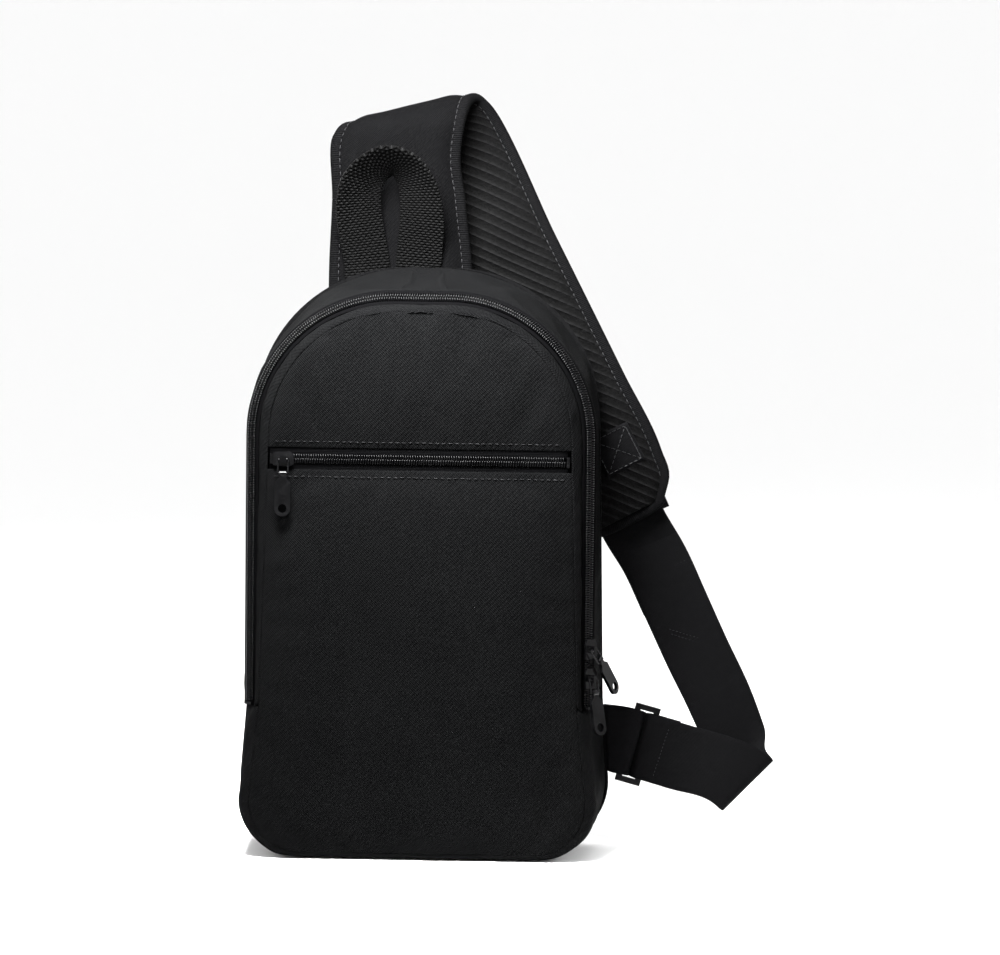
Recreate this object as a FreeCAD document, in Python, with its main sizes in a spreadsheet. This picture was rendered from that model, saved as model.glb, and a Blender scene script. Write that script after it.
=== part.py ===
import FreeCAD, Part
import math
import os

import Sketcher
from FreeCAD import Placement, Rotation, Vector

# A one-shoulder sling bag that stands on its flat base.
# Seen from the front, X runs to the right, the front faces -Y, and +Z is up.
# The origin is the middle of the base, so the front lies at -depth/2 and the back at +depth/2.

OUT_FOLDER = "parts"

# Driving dimensions in millimetres and degrees.
SIZES = {
    # case
    "depth": 80.0,
    "wall": 1.2,
    "kink_height": 82.0,
    "side_reference": 230.0,
    "back_stack": 5.0,
    "edge_roll": 6.5,
    "zip_band": 7.0,
    # front outline
    "front_half": 81.5,
    "front_top": 295.5,
    "front_base": 3.5,
    "front_crown": 68.0,
    "front_corner": 27.0,
    "front_flare": 0.03,
    "front_kick": 0.1,
    # outline where the front border meets the zip
    "border_half": 87.0,
    "border_top": 299.0,
    "border_crown": 72.0,
    # outline where the zip meets the gusset
    "gusset_half": 94.0,
    "gusset_top": 306.0,
    "gusset_crown": 79.0,
    # foot outline just behind the front edge of the lower gusset
    "foot_half": 88.5,
    "foot_corner": 31.0,
    "foot_flare": 0.02,
    # back outline
    "back_half": 94.0,
    "back_top": 314.0,
    "back_crown": 81.0,
    "back_corner": 34.0,
    "back_flare": 0.02,
    "back_kick": 0.08,
    # back stack and lining
    "back_mesh_thick": 1.2,
    "back_foam_thick": 2.8,
    "back_lining_thick": 1.0,
    "pocket_depth": 8.0,
    "lining_thick": 0.8,
    "slip_half": 62.0,
    "slip_low": 42.0,
    "slip_high": 165.0,
    "binding_wide": 4.0,
    "binding_thick": 1.6,
    # zips
    "pocket_zip_height": 216.0,
    "pocket_gap": 13.0,
    "tape_thick": 0.8,
    "tape_reach": 9.6,
    "tape_part": 0.5,
    "teeth_out": 2.75,
    "teeth_tall": 2.0,
    "stop_long": 1.5,
    "stop_tall": 2.3,
    # sliders, bails and pulls
    "slider_long": 11.0,
    "slider_mouth": 8.4,
    "slider_tail": 6.8,
    "slider_clear": 0.3,
    "plate_thick": 1.0,
    "post_thick": 0.4,
    "crown_wide": 1.8,
    "crown_long": 3.8,
    "crown_wall": 0.5,
    "tunnel_tall": 2.6,
    "wire": 1.0,
    "bail_long": 7.6,
    "bail_half": 2.7,
    "pull_long": 23.0,
    "pull_wide": 8.4,
    "pull_thick": 1.8,
    "pull_hole": 4.6,
    "pocket_slider_x": -73.1,
    "upper_slider_z": 114.5,
    "lower_slider_z": 98.8,
    # straps
    "strap_foam_thick": 6.4,
    "strap_face_thick": 1.0,
    "strap_mesh_thick": 1.4,
    "strap_edge": 3.0,
    "strap_bend": 11.0,
    "webbing_wide": 36.4,
    "webbing_thick": 1.6,
    "handle_wide": 25.0,
    "handle_thick": 2.0,
    # side buckle and adjuster
    "buckle_long": 44.0,
    "buckle_wide": 14.0,
    "buckle_thick": 2.6,
    "buckle_bar": 3.4,
}

doc = FreeCAD.newDocument("SlingBag")
sheet = doc.addObject("Spreadsheet::Sheet", "Sizes")
for row, (alias, value) in enumerate(SIZES.items(), start=1):
    sheet.set(f"A{row}", alias)
    sheet.set(f"B{row}", str(value))
    sheet.setAlias(f"B{row}", alias)
doc.recompute()

sub_parts = []


def size(alias):
    """A driving dimension, read back from the sheet."""
    return float(sheet.get(alias))


LINING_GAP = 0.4
Y_FRONT = -size("depth") / 2
Y_BACK = size("depth") / 2
Y_BORDER = Y_FRONT + size("edge_roll")
Y_ZIP_BACK = Y_BORDER + size("zip_band")


# ---------------------------------------------------------------- bodies and sketches

def new_body(label):
    """A sub-part whose label names its file."""
    body = doc.addObject("PartDesign::Body", label)
    body.Label = label
    sub_parts.append(body)
    return body


def origin_plane(body, role):
    return [item for item in body.Origin.OriginFeatures if item.Role == role][0]


def new_sketch(body, name, role, offset=None):
    """A sketch on one of the body's own origin planes, moved by offset."""
    sketch = body.newObject("Sketcher::SketchObject", name)
    sketch.AttachmentSupport = [(origin_plane(body, role), "")]
    sketch.MapMode = "FlatFace"
    if offset is not None:
        sketch.AttachmentOffset = offset
    return sketch


def front_sketch(body, name, y_expression):
    """A sketch seen from the front, in the plane Y = y_expression."""
    sketch = new_sketch(body, name, "XZ_Plane")
    sketch.setExpression("AttachmentOffset.Base.z", f"-({y_expression})")
    return sketch


def draw(sketch, edges):
    """Draw a closed chain of lines (2 points) and arcs (3 points), given as (x, y) pairs."""
    for edge in edges:
        points = [Vector(x, y, 0) for x, y in edge]
        if len(points) == 2:
            sketch.addGeometry(Part.LineSegment(*points))
        else:
            sketch.addGeometry(Part.Arc(*points))


def draw_polygon(sketch, points):
    draw(sketch, [(points[i - 1], points[i]) for i in range(len(points))])


def draw_rectangle(sketch, wide, tall, wide_from="", tall_from=""):
    """A rectangle about the sketch's origin, driven by two sheet expressions where given."""
    half_w, half_t = wide / 2, tall / 2
    corners = [(-half_w, -half_t), (half_w, -half_t), (half_w, half_t), (-half_w, half_t)]
    draw(sketch, [(corners[i], corners[(i + 1) % 4]) for i in range(4)])
    for i in range(4):
        sketch.addConstraint(Sketcher.Constraint("Coincident", i, 2, (i + 1) % 4, 1))
    sketch.addConstraint(Sketcher.Constraint("Horizontal", 0))
    sketch.addConstraint(Sketcher.Constraint("Horizontal", 2))
    sketch.addConstraint(Sketcher.Constraint("Vertical", 1))
    sketch.addConstraint(Sketcher.Constraint("Vertical", 3))
    sketch.addConstraint(Sketcher.Constraint("Symmetric", 0, 1, 1, 2, -1, 1))
    across = sketch.addConstraint(Sketcher.Constraint("DistanceX", 0, 1, 0, 2, wide))
    along = sketch.addConstraint(Sketcher.Constraint("DistanceY", 1, 1, 1, 2, tall))
    if wide_from:
        sketch.setExpression(f"Constraints[{across}]", wide_from)
    if tall_from:
        sketch.setExpression(f"Constraints[{along}]", tall_from)


def add_pad(body, sketch, length_expression):
    pad = body.newObject("PartDesign::Pad", sketch.Name + "_pad")
    pad.Profile = sketch
    pad.setExpression("Length", length_expression)
    return pad


def through_cut(body, sketch, depth):
    """Cut the sketch's shape out of the body, from the sketch down by a depth."""
    cut = body.newObject("PartDesign::Pocket", sketch.Name + "_cut")
    cut.Profile = sketch
    cut.Length = depth
    return cut


def add_loft(body, sketches, name, kind="PartDesign::AdditiveLoft"):
    loft = body.newObject(kind, name)
    loft.Profile = (sketches[0], [""])
    loft.Sections = [(sketch, [""]) for sketch in sketches[1:]]
    loft.Ruled = True
    return loft


# ---------------------------------------------------------------- outlines of the case

def fillet_points(before, corner, after, radius):
    """Start, middle and end of the arc that rounds a corner."""
    before, corner, after = Vector(*before, 0), Vector(*corner, 0), Vector(*after, 0)
    back = (before - corner).normalize()
    ahead = (after - corner).normalize()
    half_angle = back.getAngle(ahead) / 2
    reach = radius / math.tan(half_angle)
    middle_way = (back + ahead).normalize()
    middle = corner + middle_way * (radius / math.sin(half_angle) - radius)
    start = corner + back * reach
    end = corner + ahead * reach
    return [(point.x, point.y) for point in (start, middle, end)]


class Outline:
    """A tall rounded outline: flat base, flared sides with a kink low down, arched top."""

    def __init__(self, half, top, base, crown, corner, flare=0.0, kick=0.0, inset=0.0):
        self.half, self.top, self.base = half - inset, top - inset, base + inset
        self.crown, self.corner = crown - inset, corner - inset
        self.flare, self.kick = flare, kick
        self.numbers = (half, top, base, crown, corner, flare, kick)

    def inside(self, inset):
        return Outline(*self.numbers, inset=inset)

    def x_at(self, height):
        """Half the width at a height on the straight sides."""
        kink = size("kink_height")
        reference = size("side_reference")
        x = self.half + self.flare * (reference - max(height, kink))
        return x + self.kick * max(kink - height, 0)

    def upper_arc(self, side):
        low = (side * self.x_at(self.top - self.crown), self.top - self.crown)
        corner = (side * self.x_at(self.top), self.top)
        return fillet_points(low, corner, (0, self.top), self.crown)

    def lower_arc(self, side):
        high = (side * self.x_at(self.base + self.corner), self.base + self.corner)
        corner = (side * self.x_at(self.base), self.base)
        return fillet_points(high, corner, (0, self.base), self.corner)

    def over_the_top(self, height):
        """Edges from the right side at a height, over the arch, down to the left side."""
        right, left = self.upper_arc(1), self.upper_arc(-1)
        x = self.x_at(height)
        return [((x, height), right[0]), tuple(right), (right[2], left[2]),
                tuple(reversed(left)), (left[0], (-x, height))]

    def round_the_base(self, height, kinked=False):
        """Edges from the left side at a height, round the base, up to the right side."""
        right, left = self.lower_arc(1), self.lower_arc(-1)
        x = self.x_at(height)
        kink = size("kink_height")
        k = self.x_at(kink)
        if kinked:
            down = [((-x, height), (-k, kink)), ((-k, kink), left[0])]
            up = [(right[0], (k, kink)), ((k, kink), (x, height))]
        else:
            down = [((-x, height), left[0])]
            up = [(right[0], (x, height))]
        return down + [tuple(left), (left[2], right[2]), tuple(reversed(right))] + up


def backwards(edges):
    return [tuple(reversed(edge)) for edge in reversed(edges)]


def band_edges(outer, inner):
    """Close two open chains of edges into one band."""
    start_cap = (inner[0][0], outer[0][0])
    end_cap = (outer[-1][-1], inner[-1][-1])
    return outer + [end_cap] + backwards(inner) + [start_cap]


def outline_at(prefix, **changes):
    values = {
        "half": size(prefix + "_half"),
        "top": size(changes.get("top", prefix) + "_top"),
        "base": changes.get("base", 0.0),
        "crown": size(changes.get("top", prefix) + "_crown"),
        "corner": size(changes.get("corner", prefix) + "_corner"),
        "flare": changes.get("flare", 0.0),
        "kick": changes.get("kick", 0.0),
    }
    return Outline(**values)


FRONT = outline_at("front", base=size("front_base"), flare=size("front_flare"), kick=size("front_kick"))
BORDER = outline_at("border", corner="front")
GUSSET = outline_at("gusset", corner="back")
BASE_SHAVE = 0.15
FOOT = outline_at("foot", top="border", base=-BASE_SHAVE, flare=size("foot_flare"), kick=size("front_kick"))
BACK = outline_at("back", flare=size("back_flare"), kick=size("back_kick"))
BACK_FOOT = outline_at("back", base=-BASE_SHAVE, flare=size("back_flare"), kick=size("back_kick"))

DEPTH_FRONT = "-Sizes.depth / 2"
DEPTH_BORDER = "-Sizes.depth / 2 + Sizes.edge_roll"
DEPTH_ZIP_BACK = "-Sizes.depth / 2 + Sizes.edge_roll + Sizes.zip_band"
DEPTH_SEAM = "Sizes.depth / 2 - Sizes.back_stack"


def band(label, stations, low):
    """A ring section of the case wall, lofted through (outline, depth expression) stations."""
    body = new_body(label)
    sketches = []
    for i, (outline, depth) in enumerate(stations):
        inner_outline = outline.inside(size("wall"))
        if low:
            outer = outline.round_the_base(size("kink_height"))
            inner = inner_outline.round_the_base(size("kink_height"))
        else:
            outer = outline.over_the_top(size("kink_height"))
            inner = inner_outline.over_the_top(size("kink_height"))
        sketch = front_sketch(body, f"{label}_section_{i}", depth)
        draw(sketch, band_edges(outer, inner))
        sketches.append(sketch)
    add_loft(body, sketches, label + "_loft")
    return body


def flatten_base(body):
    """Shave the underside flat at Z = 0, so the case stands on a true plane."""
    sketch = new_sketch(body, body.Label + "_ground", "XY_Plane")
    draw_rectangle(sketch, 4 * size("back_half"), 2 * size("depth"))
    through_cut(body, sketch, size("wall"))


def panel(label, edges, depth, thickness):
    """A flat panel whose back face lies at a depth and which is padded forwards."""
    body = new_body(label)
    sketch = front_sketch(body, label + "_outline", depth)
    draw(sketch, edges)
    add_pad(body, sketch, thickness)
    return body


def closed(edges):
    return edges + [(edges[-1][-1], edges[0][0])]


def whole_outline(outline):
    kink = size("kink_height")
    return outline.over_the_top(kink) + outline.round_the_base(kink)


# Case walls.
band("front_border", [(FRONT, DEPTH_FRONT), (BORDER, DEPTH_BORDER)], low=False)
band("gusset_upper", [(GUSSET, DEPTH_ZIP_BACK), (BACK, DEPTH_SEAM)], low=False)
flatten_base(band("gusset_lower", [(FRONT, DEPTH_FRONT), (FOOT, DEPTH_BORDER),
                                   (BACK_FOOT, DEPTH_SEAM)], low=True))

# Front panels, above and below the pocket zip, set inside the front edge of the walls.
FRONT_FACE = FRONT.inside(size("wall"))
ZIP_TOP = size("pocket_zip_height") + size("pocket_gap") / 2
ZIP_BASE = size("pocket_zip_height") - size("pocket_gap") / 2
DEPTH_FACE_BACK = "-Sizes.depth / 2 + Sizes.wall"
panel("front_panel_upper", closed(FRONT_FACE.over_the_top(ZIP_TOP)), DEPTH_FACE_BACK, "Sizes.wall")
panel("front_panel_lower", closed(FRONT_FACE.round_the_base(ZIP_BASE, kinked=True)),
      DEPTH_FACE_BACK, "Sizes.wall")

# The panel behind the front pocket.
POCKET_BACK = FRONT.inside(size("wall") + size("binding_thick") + LINING_GAP)
panel("pocket_back", whole_outline(POCKET_BACK),
      "-Sizes.depth / 2 + Sizes.wall + Sizes.tape_thick + Sizes.pocket_depth", "Sizes.lining_thick")

# Back stack: lining, foam and spacer mesh, all to the full back outline.
panel("back_mesh", whole_outline(BACK), "Sizes.depth / 2", "Sizes.back_mesh_thick")
panel("back_foam", whole_outline(BACK), "Sizes.depth / 2 - Sizes.back_mesh_thick",
      "Sizes.back_foam_thick")
panel("back_lining", whole_outline(BACK),
      "Sizes.depth / 2 - Sizes.back_mesh_thick - Sizes.back_foam_thick", "Sizes.back_lining_thick")


def slip_pocket():
    """An open-topped pocket sewn to the lining inside the bag."""
    half, low, high = size("slip_half"), size("slip_low"), size("slip_high")
    corners = [(-half, low), (half, low), (half, high), (-half, high)]
    edges = [(corners[i], corners[(i + 1) % 4]) for i in range(4)]
    return panel("inner_pocket", edges, DEPTH_SEAM, "Sizes.lining_thick")


slip_pocket()


def seam_binding(label, outline, inset, depth):
    """Tape that binds a seam on the inside, right round the case."""
    body = new_body(label)
    sketch = front_sketch(body, label + "_outline", depth)
    draw(sketch, whole_outline(outline.inside(inset)))
    draw(sketch, whole_outline(outline.inside(inset + size("binding_thick"))))
    add_pad(body, sketch, "Sizes.binding_wide")
    return body


# The wall narrows towards the front, so the back binding starts a little further in.
seam_binding("back_seam_binding", BACK, size("wall") + 1.0, DEPTH_SEAM)
seam_binding("front_seam_binding", FRONT, size("wall"),
             "-Sizes.depth / 2 + 3 * Sizes.wall + Sizes.binding_wide")


# ---------------------------------------------------------------- zips

ZIP_CENTRE = Outline(
    half=(size("border_half") + size("gusset_half")) / 2,
    top=(size("border_top") + size("gusset_top")) / 2,
    base=0.0,
    crown=(size("border_crown") + size("gusset_crown")) / 2,
    corner=size("back_corner"))
ZIP_Y = (Y_BORDER + Y_ZIP_BACK) / 2
ZIP_HALF_BAND = math.hypot(size("gusset_half") - size("border_half"), size("zip_band")) / 2


def swept_strip(label, across_low, across_high, out_low, out_high, start_z=None):
    """A strip of the main zip: a rectangle carried round the arch.

    across is measured over the tape from the middle of the chain towards the back,
    out is measured square to the tape, away from the bag.
    """
    body = new_body(label)
    start = size("kink_height") if start_z is None else start_z
    path = new_sketch(body, label + "_path", "XZ_Plane", Placement(Vector(0, 0, -ZIP_Y), Rotation()))
    draw(path, ZIP_CENTRE.over_the_top(start))
    profile = new_sketch(body, label + "_profile", "XY_Plane",
                         Placement(Vector(ZIP_CENTRE.x_at(start), ZIP_Y, start),
                                   Rotation(Vector(0, 0, 1), 45)))
    corners = [(across_low, -out_low), (across_high, -out_low),
               (across_high, -out_high), (across_low, -out_high)]
    draw_polygon(profile, corners)
    pipe = body.newObject("PartDesign::AdditivePipe", label + "_pipe")
    pipe.Profile = profile
    pipe.Spine = (path, [])
    pipe.Mode = "Standard"
    pipe.Transition = "Transformed"
    return body


TAPE = size("tape_thick")
PART_GAP = size("tape_part")
swept_strip("main_tape_front", -ZIP_HALF_BAND, -PART_GAP, -TAPE, 0.0)
swept_strip("main_tape_back", PART_GAP, ZIP_HALF_BAND - TAPE, -TAPE, 0.0)
TEETH_START = size("kink_height") + size("stop_long") + 0.1
swept_strip("main_teeth_front", -size("teeth_out"), -PART_GAP, 0.0, size("teeth_tall"), TEETH_START)
swept_strip("main_teeth_back", PART_GAP, size("teeth_out"), 0.0, size("teeth_tall"), TEETH_START)


def pocket_strip(label, low, high, y_back_expression, thick_expression, half_length):
    """A strip of the pocket zip between two heights above its middle line."""
    body = new_body(label)
    sketch = front_sketch(body, label + "_outline", y_back_expression)
    middle = size("pocket_zip_height")
    corners = [(-half_length, middle + low), (half_length, middle + low),
               (half_length, middle + high), (-half_length, middle + high)]
    draw(sketch, [(corners[i], corners[(i + 1) % 4]) for i in range(4)])
    add_pad(body, sketch, thick_expression)
    return body


POCKET_TAPE_HALF = FRONT.x_at(size("pocket_zip_height")) - size("wall") - LINING_GAP
POCKET_TEETH_HALF = POCKET_TAPE_HALF - size("stop_long") - 0.1
TAPE_BACK = "-Sizes.depth / 2 + Sizes.wall + Sizes.tape_thick"
REACH = size("tape_reach")
pocket_strip("pocket_tape_upper", PART_GAP, REACH, TAPE_BACK, "Sizes.tape_thick", POCKET_TAPE_HALF)
pocket_strip("pocket_tape_lower", -REACH, -PART_GAP, TAPE_BACK, "Sizes.tape_thick", POCKET_TAPE_HALF)
pocket_strip("pocket_teeth_upper", PART_GAP, size("teeth_out"), DEPTH_FACE_BACK,
             "Sizes.teeth_tall", POCKET_TEETH_HALF)
pocket_strip("pocket_teeth_lower", -size("teeth_out"), -PART_GAP, DEPTH_FACE_BACK,
             "Sizes.teeth_tall", POCKET_TEETH_HALF)


# Local axes of a slider: x across the chain, y along it (the way it closes), z out of the tape.
def local_frame(along, out, origin):
    across = along.cross(out)
    matrix = FreeCAD.Matrix(across.x, along.x, out.x, origin.x,
                            across.y, along.y, out.y, origin.y,
                            across.z, along.z, out.z, origin.z,
                            0, 0, 0, 1)
    return Placement(matrix)


OUT_RIGHT = Vector(1, -1, 0).normalize()
OUT_LEFT = Vector(-1, -1, 0).normalize()
OUT_FRONT = Vector(0, -1, 0)
RIGHT = Vector(1, 0, 0)
UP = Vector(0, 0, 1)


def main_zip_frame(z):
    return local_frame(UP, OUT_RIGHT, Vector(ZIP_CENTRE.half, ZIP_Y, z))


def pocket_zip_frame(x):
    y = Y_FRONT + size("wall")
    return local_frame(RIGHT, OUT_FRONT, Vector(x, y, size("pocket_zip_height")))


def zip_stop(label, placement):
    """A small clamp over the end of a chain, its corner placed to straddle the two tapes."""
    stop = doc.addObject("Part::Box", label)
    stop.Label = label
    stop.setExpression("Length", "2 * Sizes.teeth_out")
    stop.setExpression("Width", "Sizes.stop_long")
    stop.setExpression("Height", "Sizes.stop_tall")
    corner = Placement(Vector(-size("teeth_out"), -size("stop_long") / 2, 0), Rotation())
    stop.Placement = placement.multiply(corner)
    sub_parts.append(stop)


STOP_MIDDLE = size("stop_long") / 2
LOW_END = size("kink_height") + STOP_MIDDLE
zip_stop("main_zip_stop_right", main_zip_frame(LOW_END))
zip_stop("main_zip_stop_left", local_frame(UP, OUT_LEFT, Vector(-ZIP_CENTRE.half, ZIP_Y, LOW_END)))
zip_stop("pocket_zip_stop_right", pocket_zip_frame(POCKET_TAPE_HALF - STOP_MIDDLE))
zip_stop("pocket_zip_stop_left", pocket_zip_frame(STOP_MIDDLE - POCKET_TAPE_HALF))


def flat_sketch(body, name, height):
    """A sketch in the body's XY plane at a height above it."""
    return new_sketch(body, name, "XY_Plane", Placement(Vector(0, 0, height), Rotation()))


def block(body, name, x_pair, y_pair, z_pair):
    """A rectangular block between pairs of limits."""
    sketch = flat_sketch(body, name, z_pair[0])
    (x0, x1), (y0, y1) = x_pair, y_pair
    draw_polygon(sketch, [(x0, y0), (x1, y0), (x1, y1), (x0, y1)])
    pad = body.newObject("PartDesign::Pad", name + "_pad")
    pad.Profile = sketch
    pad.Length = z_pair[1] - z_pair[0]
    return pad


def zip_slider(label, placement, tunnel_along):
    """A slider: two plates joined by a thin post, side flanges, and a crown for the bail."""
    body = new_body(label)
    body.Placement = placement
    half = size("slider_long") / 2
    mouth, tail = size("slider_mouth") / 2, size("slider_tail") / 2
    clear, plate = size("slider_clear"), size("plate_thick")
    roof = size("teeth_tall") + clear
    floor = -TAPE - clear
    channel = size("teeth_out") + clear
    post = size("post_thick") / 2

    def plate_outline(name, height, shrink):
        nose, nose_cut = 2.5, 1.4
        sketch = flat_sketch(body, name, height)
        draw_polygon(sketch, [
            (-tail + shrink, -half), (tail - shrink, -half),
            (mouth - shrink, half - nose), (mouth - shrink - nose_cut, half),
            (-mouth + shrink + nose_cut, half), (-mouth + shrink, half - nose)])
        return sketch

    post_half_long = 1.6
    floor_shrink = 1.1
    flange_thick, flange_tail, flange_nose = 0.35, 0.6, 3.2
    add_pad(body, plate_outline(label + "_roof", roof, 0.0), "Sizes.plate_thick")
    block(body, label + "_post", (-post, post), (-post_half_long, post_half_long),
          (floor - plate / 2, roof + plate / 2))
    add_pad(body, plate_outline(label + "_floor", floor - plate, floor_shrink), "Sizes.plate_thick")
    for side, end in ((-1, "left"), (1, "right")):
        inner, outer = side * channel, side * (channel + flange_thick)
        flange = (min(inner, outer), max(inner, outer))
        block(body, f"{label}_flange_{end}", flange,
              (-half + flange_tail, half - flange_nose), (clear, roof + plate / 2))
    top = roof + plate
    tunnel_low, tunnel_high = top + clear, top + clear + size("tunnel_tall")
    crown_wall = size("crown_wall")
    short, long = size("crown_wide") / 2, size("crown_long") / 2
    reach = 2 * long
    if tunnel_along:
        wide, deep = short + crown_wall, 2 * short
        span_x, span_y = (crown_wall - wide, wide - crown_wall), (-reach, reach)
    else:
        wide, deep = short, long
        span_x, span_y = (-reach, reach), (crown_wall - long, long - crown_wall)
    block(body, label + "_crown", (-wide, wide), (-deep, deep),
          (top - clear, tunnel_high + crown_wall))
    sketch = flat_sketch(body, label + "_tunnel", tunnel_high)
    draw_polygon(sketch, [(span_x[0], span_y[0]), (span_x[1], span_y[0]),
                          (span_x[1], span_y[1]), (span_x[0], span_y[1])])
    through_cut(body, sketch, tunnel_high - tunnel_low)


# Height of the bail's pin above the tape: the middle of the crown's tunnel.
PIN_HEIGHT = (size("teeth_tall") + 2 * size("slider_clear") + size("plate_thick")
              + size("tunnel_tall") / 2)


def bail(label, placement):
    """A wire loop: its pin lies on the local x axis, its far bar at y = -bail_long."""
    body = new_body(label)
    body.Placement = placement
    half, long = size("bail_half"), size("bail_long")
    bend = 0.8
    path = new_sketch(body, label + "_path", "XY_Plane")
    corners = [(-half, 0), (half, 0), (half, -long), (-half, -long)]
    arcs = [fillet_points(corners[i - 1], corners[i], corners[(i + 1) % 4], bend) for i in range(4)]
    edges = []
    for i in range(4):
        edges.append(tuple(arcs[i]))
        edges.append((arcs[i][2], arcs[(i + 1) % 4][0]))
    draw(path, edges)
    section = new_sketch(body, label + "_wire", "XZ_Plane",
                         Placement(Vector(half, 0, long / 2), Rotation()))
    section.addGeometry(Part.Circle(Vector(0, 0, 0), Vector(0, 0, 1), size("wire") / 2))
    ring = section.addConstraint(Sketcher.Constraint("Diameter", 0, size("wire")))
    section.setExpression(f"Constraints[{ring}]", "Sizes.wire")
    pipe = body.newObject("PartDesign::AdditivePipe", label + "_pipe")
    pipe.Profile = section
    pipe.Spine = (path, [])
    pipe.Mode = "Standard"


def pull(label, placement):
    """A flat pull: a barrel round the bail's far bar (local x axis) and a tab hanging to -y."""
    body = new_body(label)
    body.Placement = placement
    bore_clear, barrel_wall, end_clear = 0.3, 0.65, 0.35
    bore_radius = size("wire") / 2 + bore_clear
    barrel_half = size("bail_half") - size("wire") / 2 - end_clear
    barrel_radius = bore_radius + barrel_wall
    barrel = new_sketch(body, label + "_barrel", "YZ_Plane",
                        Placement(Vector(0, 0, -barrel_half), Rotation()))
    barrel.addGeometry(Part.Circle(Vector(0, 0, 0), Vector(0, 0, 1), barrel_radius))
    pad = body.newObject("PartDesign::Pad", label + "_barrel_pad")
    pad.Profile = barrel
    pad.Length = 2 * barrel_half
    half, long, thick = size("pull_wide") / 2, size("pull_long"), size("pull_thick")
    tab = flat_sketch(body, label + "_tab", -thick / 2)
    neck, shoulder = -2.4, -4.8
    low = fillet_points((half, shoulder), (half, -long), (0, -long), half - 0.1)
    right_side = [((barrel_half, 0), (barrel_half, neck)), ((barrel_half, neck), (half, shoulder)),
                  ((half, shoulder), low[0]), tuple(low)]
    left_side = [tuple((-x, y) for x, y in edge) for edge in right_side]
    foot = (right_side[-1][-1], left_side[-1][-1])
    top = (left_side[0][0], right_side[0][0])
    draw(tab, right_side + [foot] + backwards(left_side) + [top])
    add_pad(body, tab, "Sizes.pull_thick")
    doc.recompute()
    bore = new_sketch(body, label + "_bore", "YZ_Plane", Placement(Vector(0, 0, -half), Rotation()))
    bore.addGeometry(Part.Circle(Vector(0, 0, 0), Vector(0, 0, 1), bore_radius))
    through_cut(body, bore, 2 * half).Reversed = True
    eye = flat_sketch(body, label + "_eye", thick)
    eye.addGeometry(Part.Circle(Vector(0, -long + half, 0), Vector(0, 0, 1), size("pull_hole") / 2))
    through_cut(body, eye, 2 * thick)


def turned(placement, point, *turns):
    """A placement at a point in another's local axes, turned by (axis, degrees) in order."""
    result = placement.multiply(Placement(Vector(*point), Rotation()))
    for axis, angle in turns:
        result = result.multiply(Placement(Vector(), Rotation(Vector(*axis), angle)))
    return result


X_AXIS, Y_AXIS, Z_AXIS = (1, 0, 0), (0, 1, 0), (0, 0, 1)


def pull_set(name, slider_placement, tunnel_along, turns, pull_tilt):
    """One slider with its bail and pull; turns set how the bail hangs at rest."""
    zip_slider(name + "_slider", slider_placement, tunnel_along)
    pin = turned(slider_placement, (0, 0, PIN_HEIGHT), *turns)
    bail(name + "_bail", pin)
    hang = turned(pin, (0, -size("bail_long"), 0), (X_AXIS, pull_tilt))
    pull(name + "_pull", hang)
    return pin, hang


# The pocket bail hangs square to its zip; the upper main bail lies back over the gusset.
FRAMES = {
    "pocket": pull_set("pocket", pocket_zip_frame(size("pocket_slider_x")), True,
                       [(Z_AXIS, 90), (X_AXIS, -8)], 2),
    "upper_main": pull_set("upper_main", main_zip_frame(size("upper_slider_z")), False,
                           [(Y_AXIS, 26), (Z_AXIS, 35), (X_AXIS, -18)], 6),
    "lower_main": pull_set("lower_main", main_zip_frame(size("lower_slider_z")), False,
                           [(X_AXIS, -12)], 0),
}


# ---------------------------------------------------------------- straps

def station(centre, across, normal, wide):
    """One cross-section of a strip: centre, direction across, outward normal, width."""
    across = Vector(*across).normalize()
    normal = Vector(*normal)
    normal = (normal - across * normal.dot(across)).normalize()
    return {"centre": Vector(*centre), "across": across, "normal": normal, "wide": wide}


def section_placement(section, lift):
    across, normal = section["across"], section["normal"]
    along = across.cross(normal)
    origin = section["centre"] + normal * lift
    return Placement(FreeCAD.Matrix(across.x, normal.x, along.x, origin.x,
                                    across.y, normal.y, along.y, origin.y,
                                    across.z, normal.z, along.z, origin.z,
                                    0, 0, 0, 1))


def strip_loft(body, sections, name, thick, thick_from, lift=0.0, narrower=0.0, cut=False):
    """Loft one strip of even thickness through its sections."""
    sketches = []
    for i, section in enumerate(sections):
        sketch = new_sketch(body, f"{name}_{i}", "XY_Plane", section_placement(section, lift))
        draw_rectangle(sketch, section["wide"] - narrower, thick, "", thick_from)
        sketches.append(sketch)
    kind = "PartDesign::SubtractiveLoft" if cut else "PartDesign::AdditiveLoft"
    return add_loft(body, sketches, name + "_loft", kind)


def strip(label, sections, thick_from, lift=0.0, narrower=0.0):
    body = new_body(label)
    thick = size(thick_from.replace("Sizes.", ""))
    strip_loft(body, sections, label + "_section", thick, thick_from, lift, narrower)
    return body


def blend(a, b, t):
    return a + (b - a) * t


# Padded strap: up behind the top of the bag, over a soft bend, and down behind its right side.
STRAP_TOTAL = size("strap_foam_thick") + size("strap_face_thick") + size("strap_mesh_thick")
STRAP_HALF = (STRAP_TOTAL + 0.4) / 2
HANDLE_GAP = 2.4
STRAP_Y = Y_BACK + HANDLE_GAP + STRAP_HALF
BEND_START = Vector(-18.4, STRAP_Y, 384.0)
BEND_END = Vector(-0.5, STRAP_Y + 2 * size("strap_bend"), 386.5)
STRAP_END = Vector(108.5, 50.0, 178.5)
STRAP_TURN = 27.5


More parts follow.
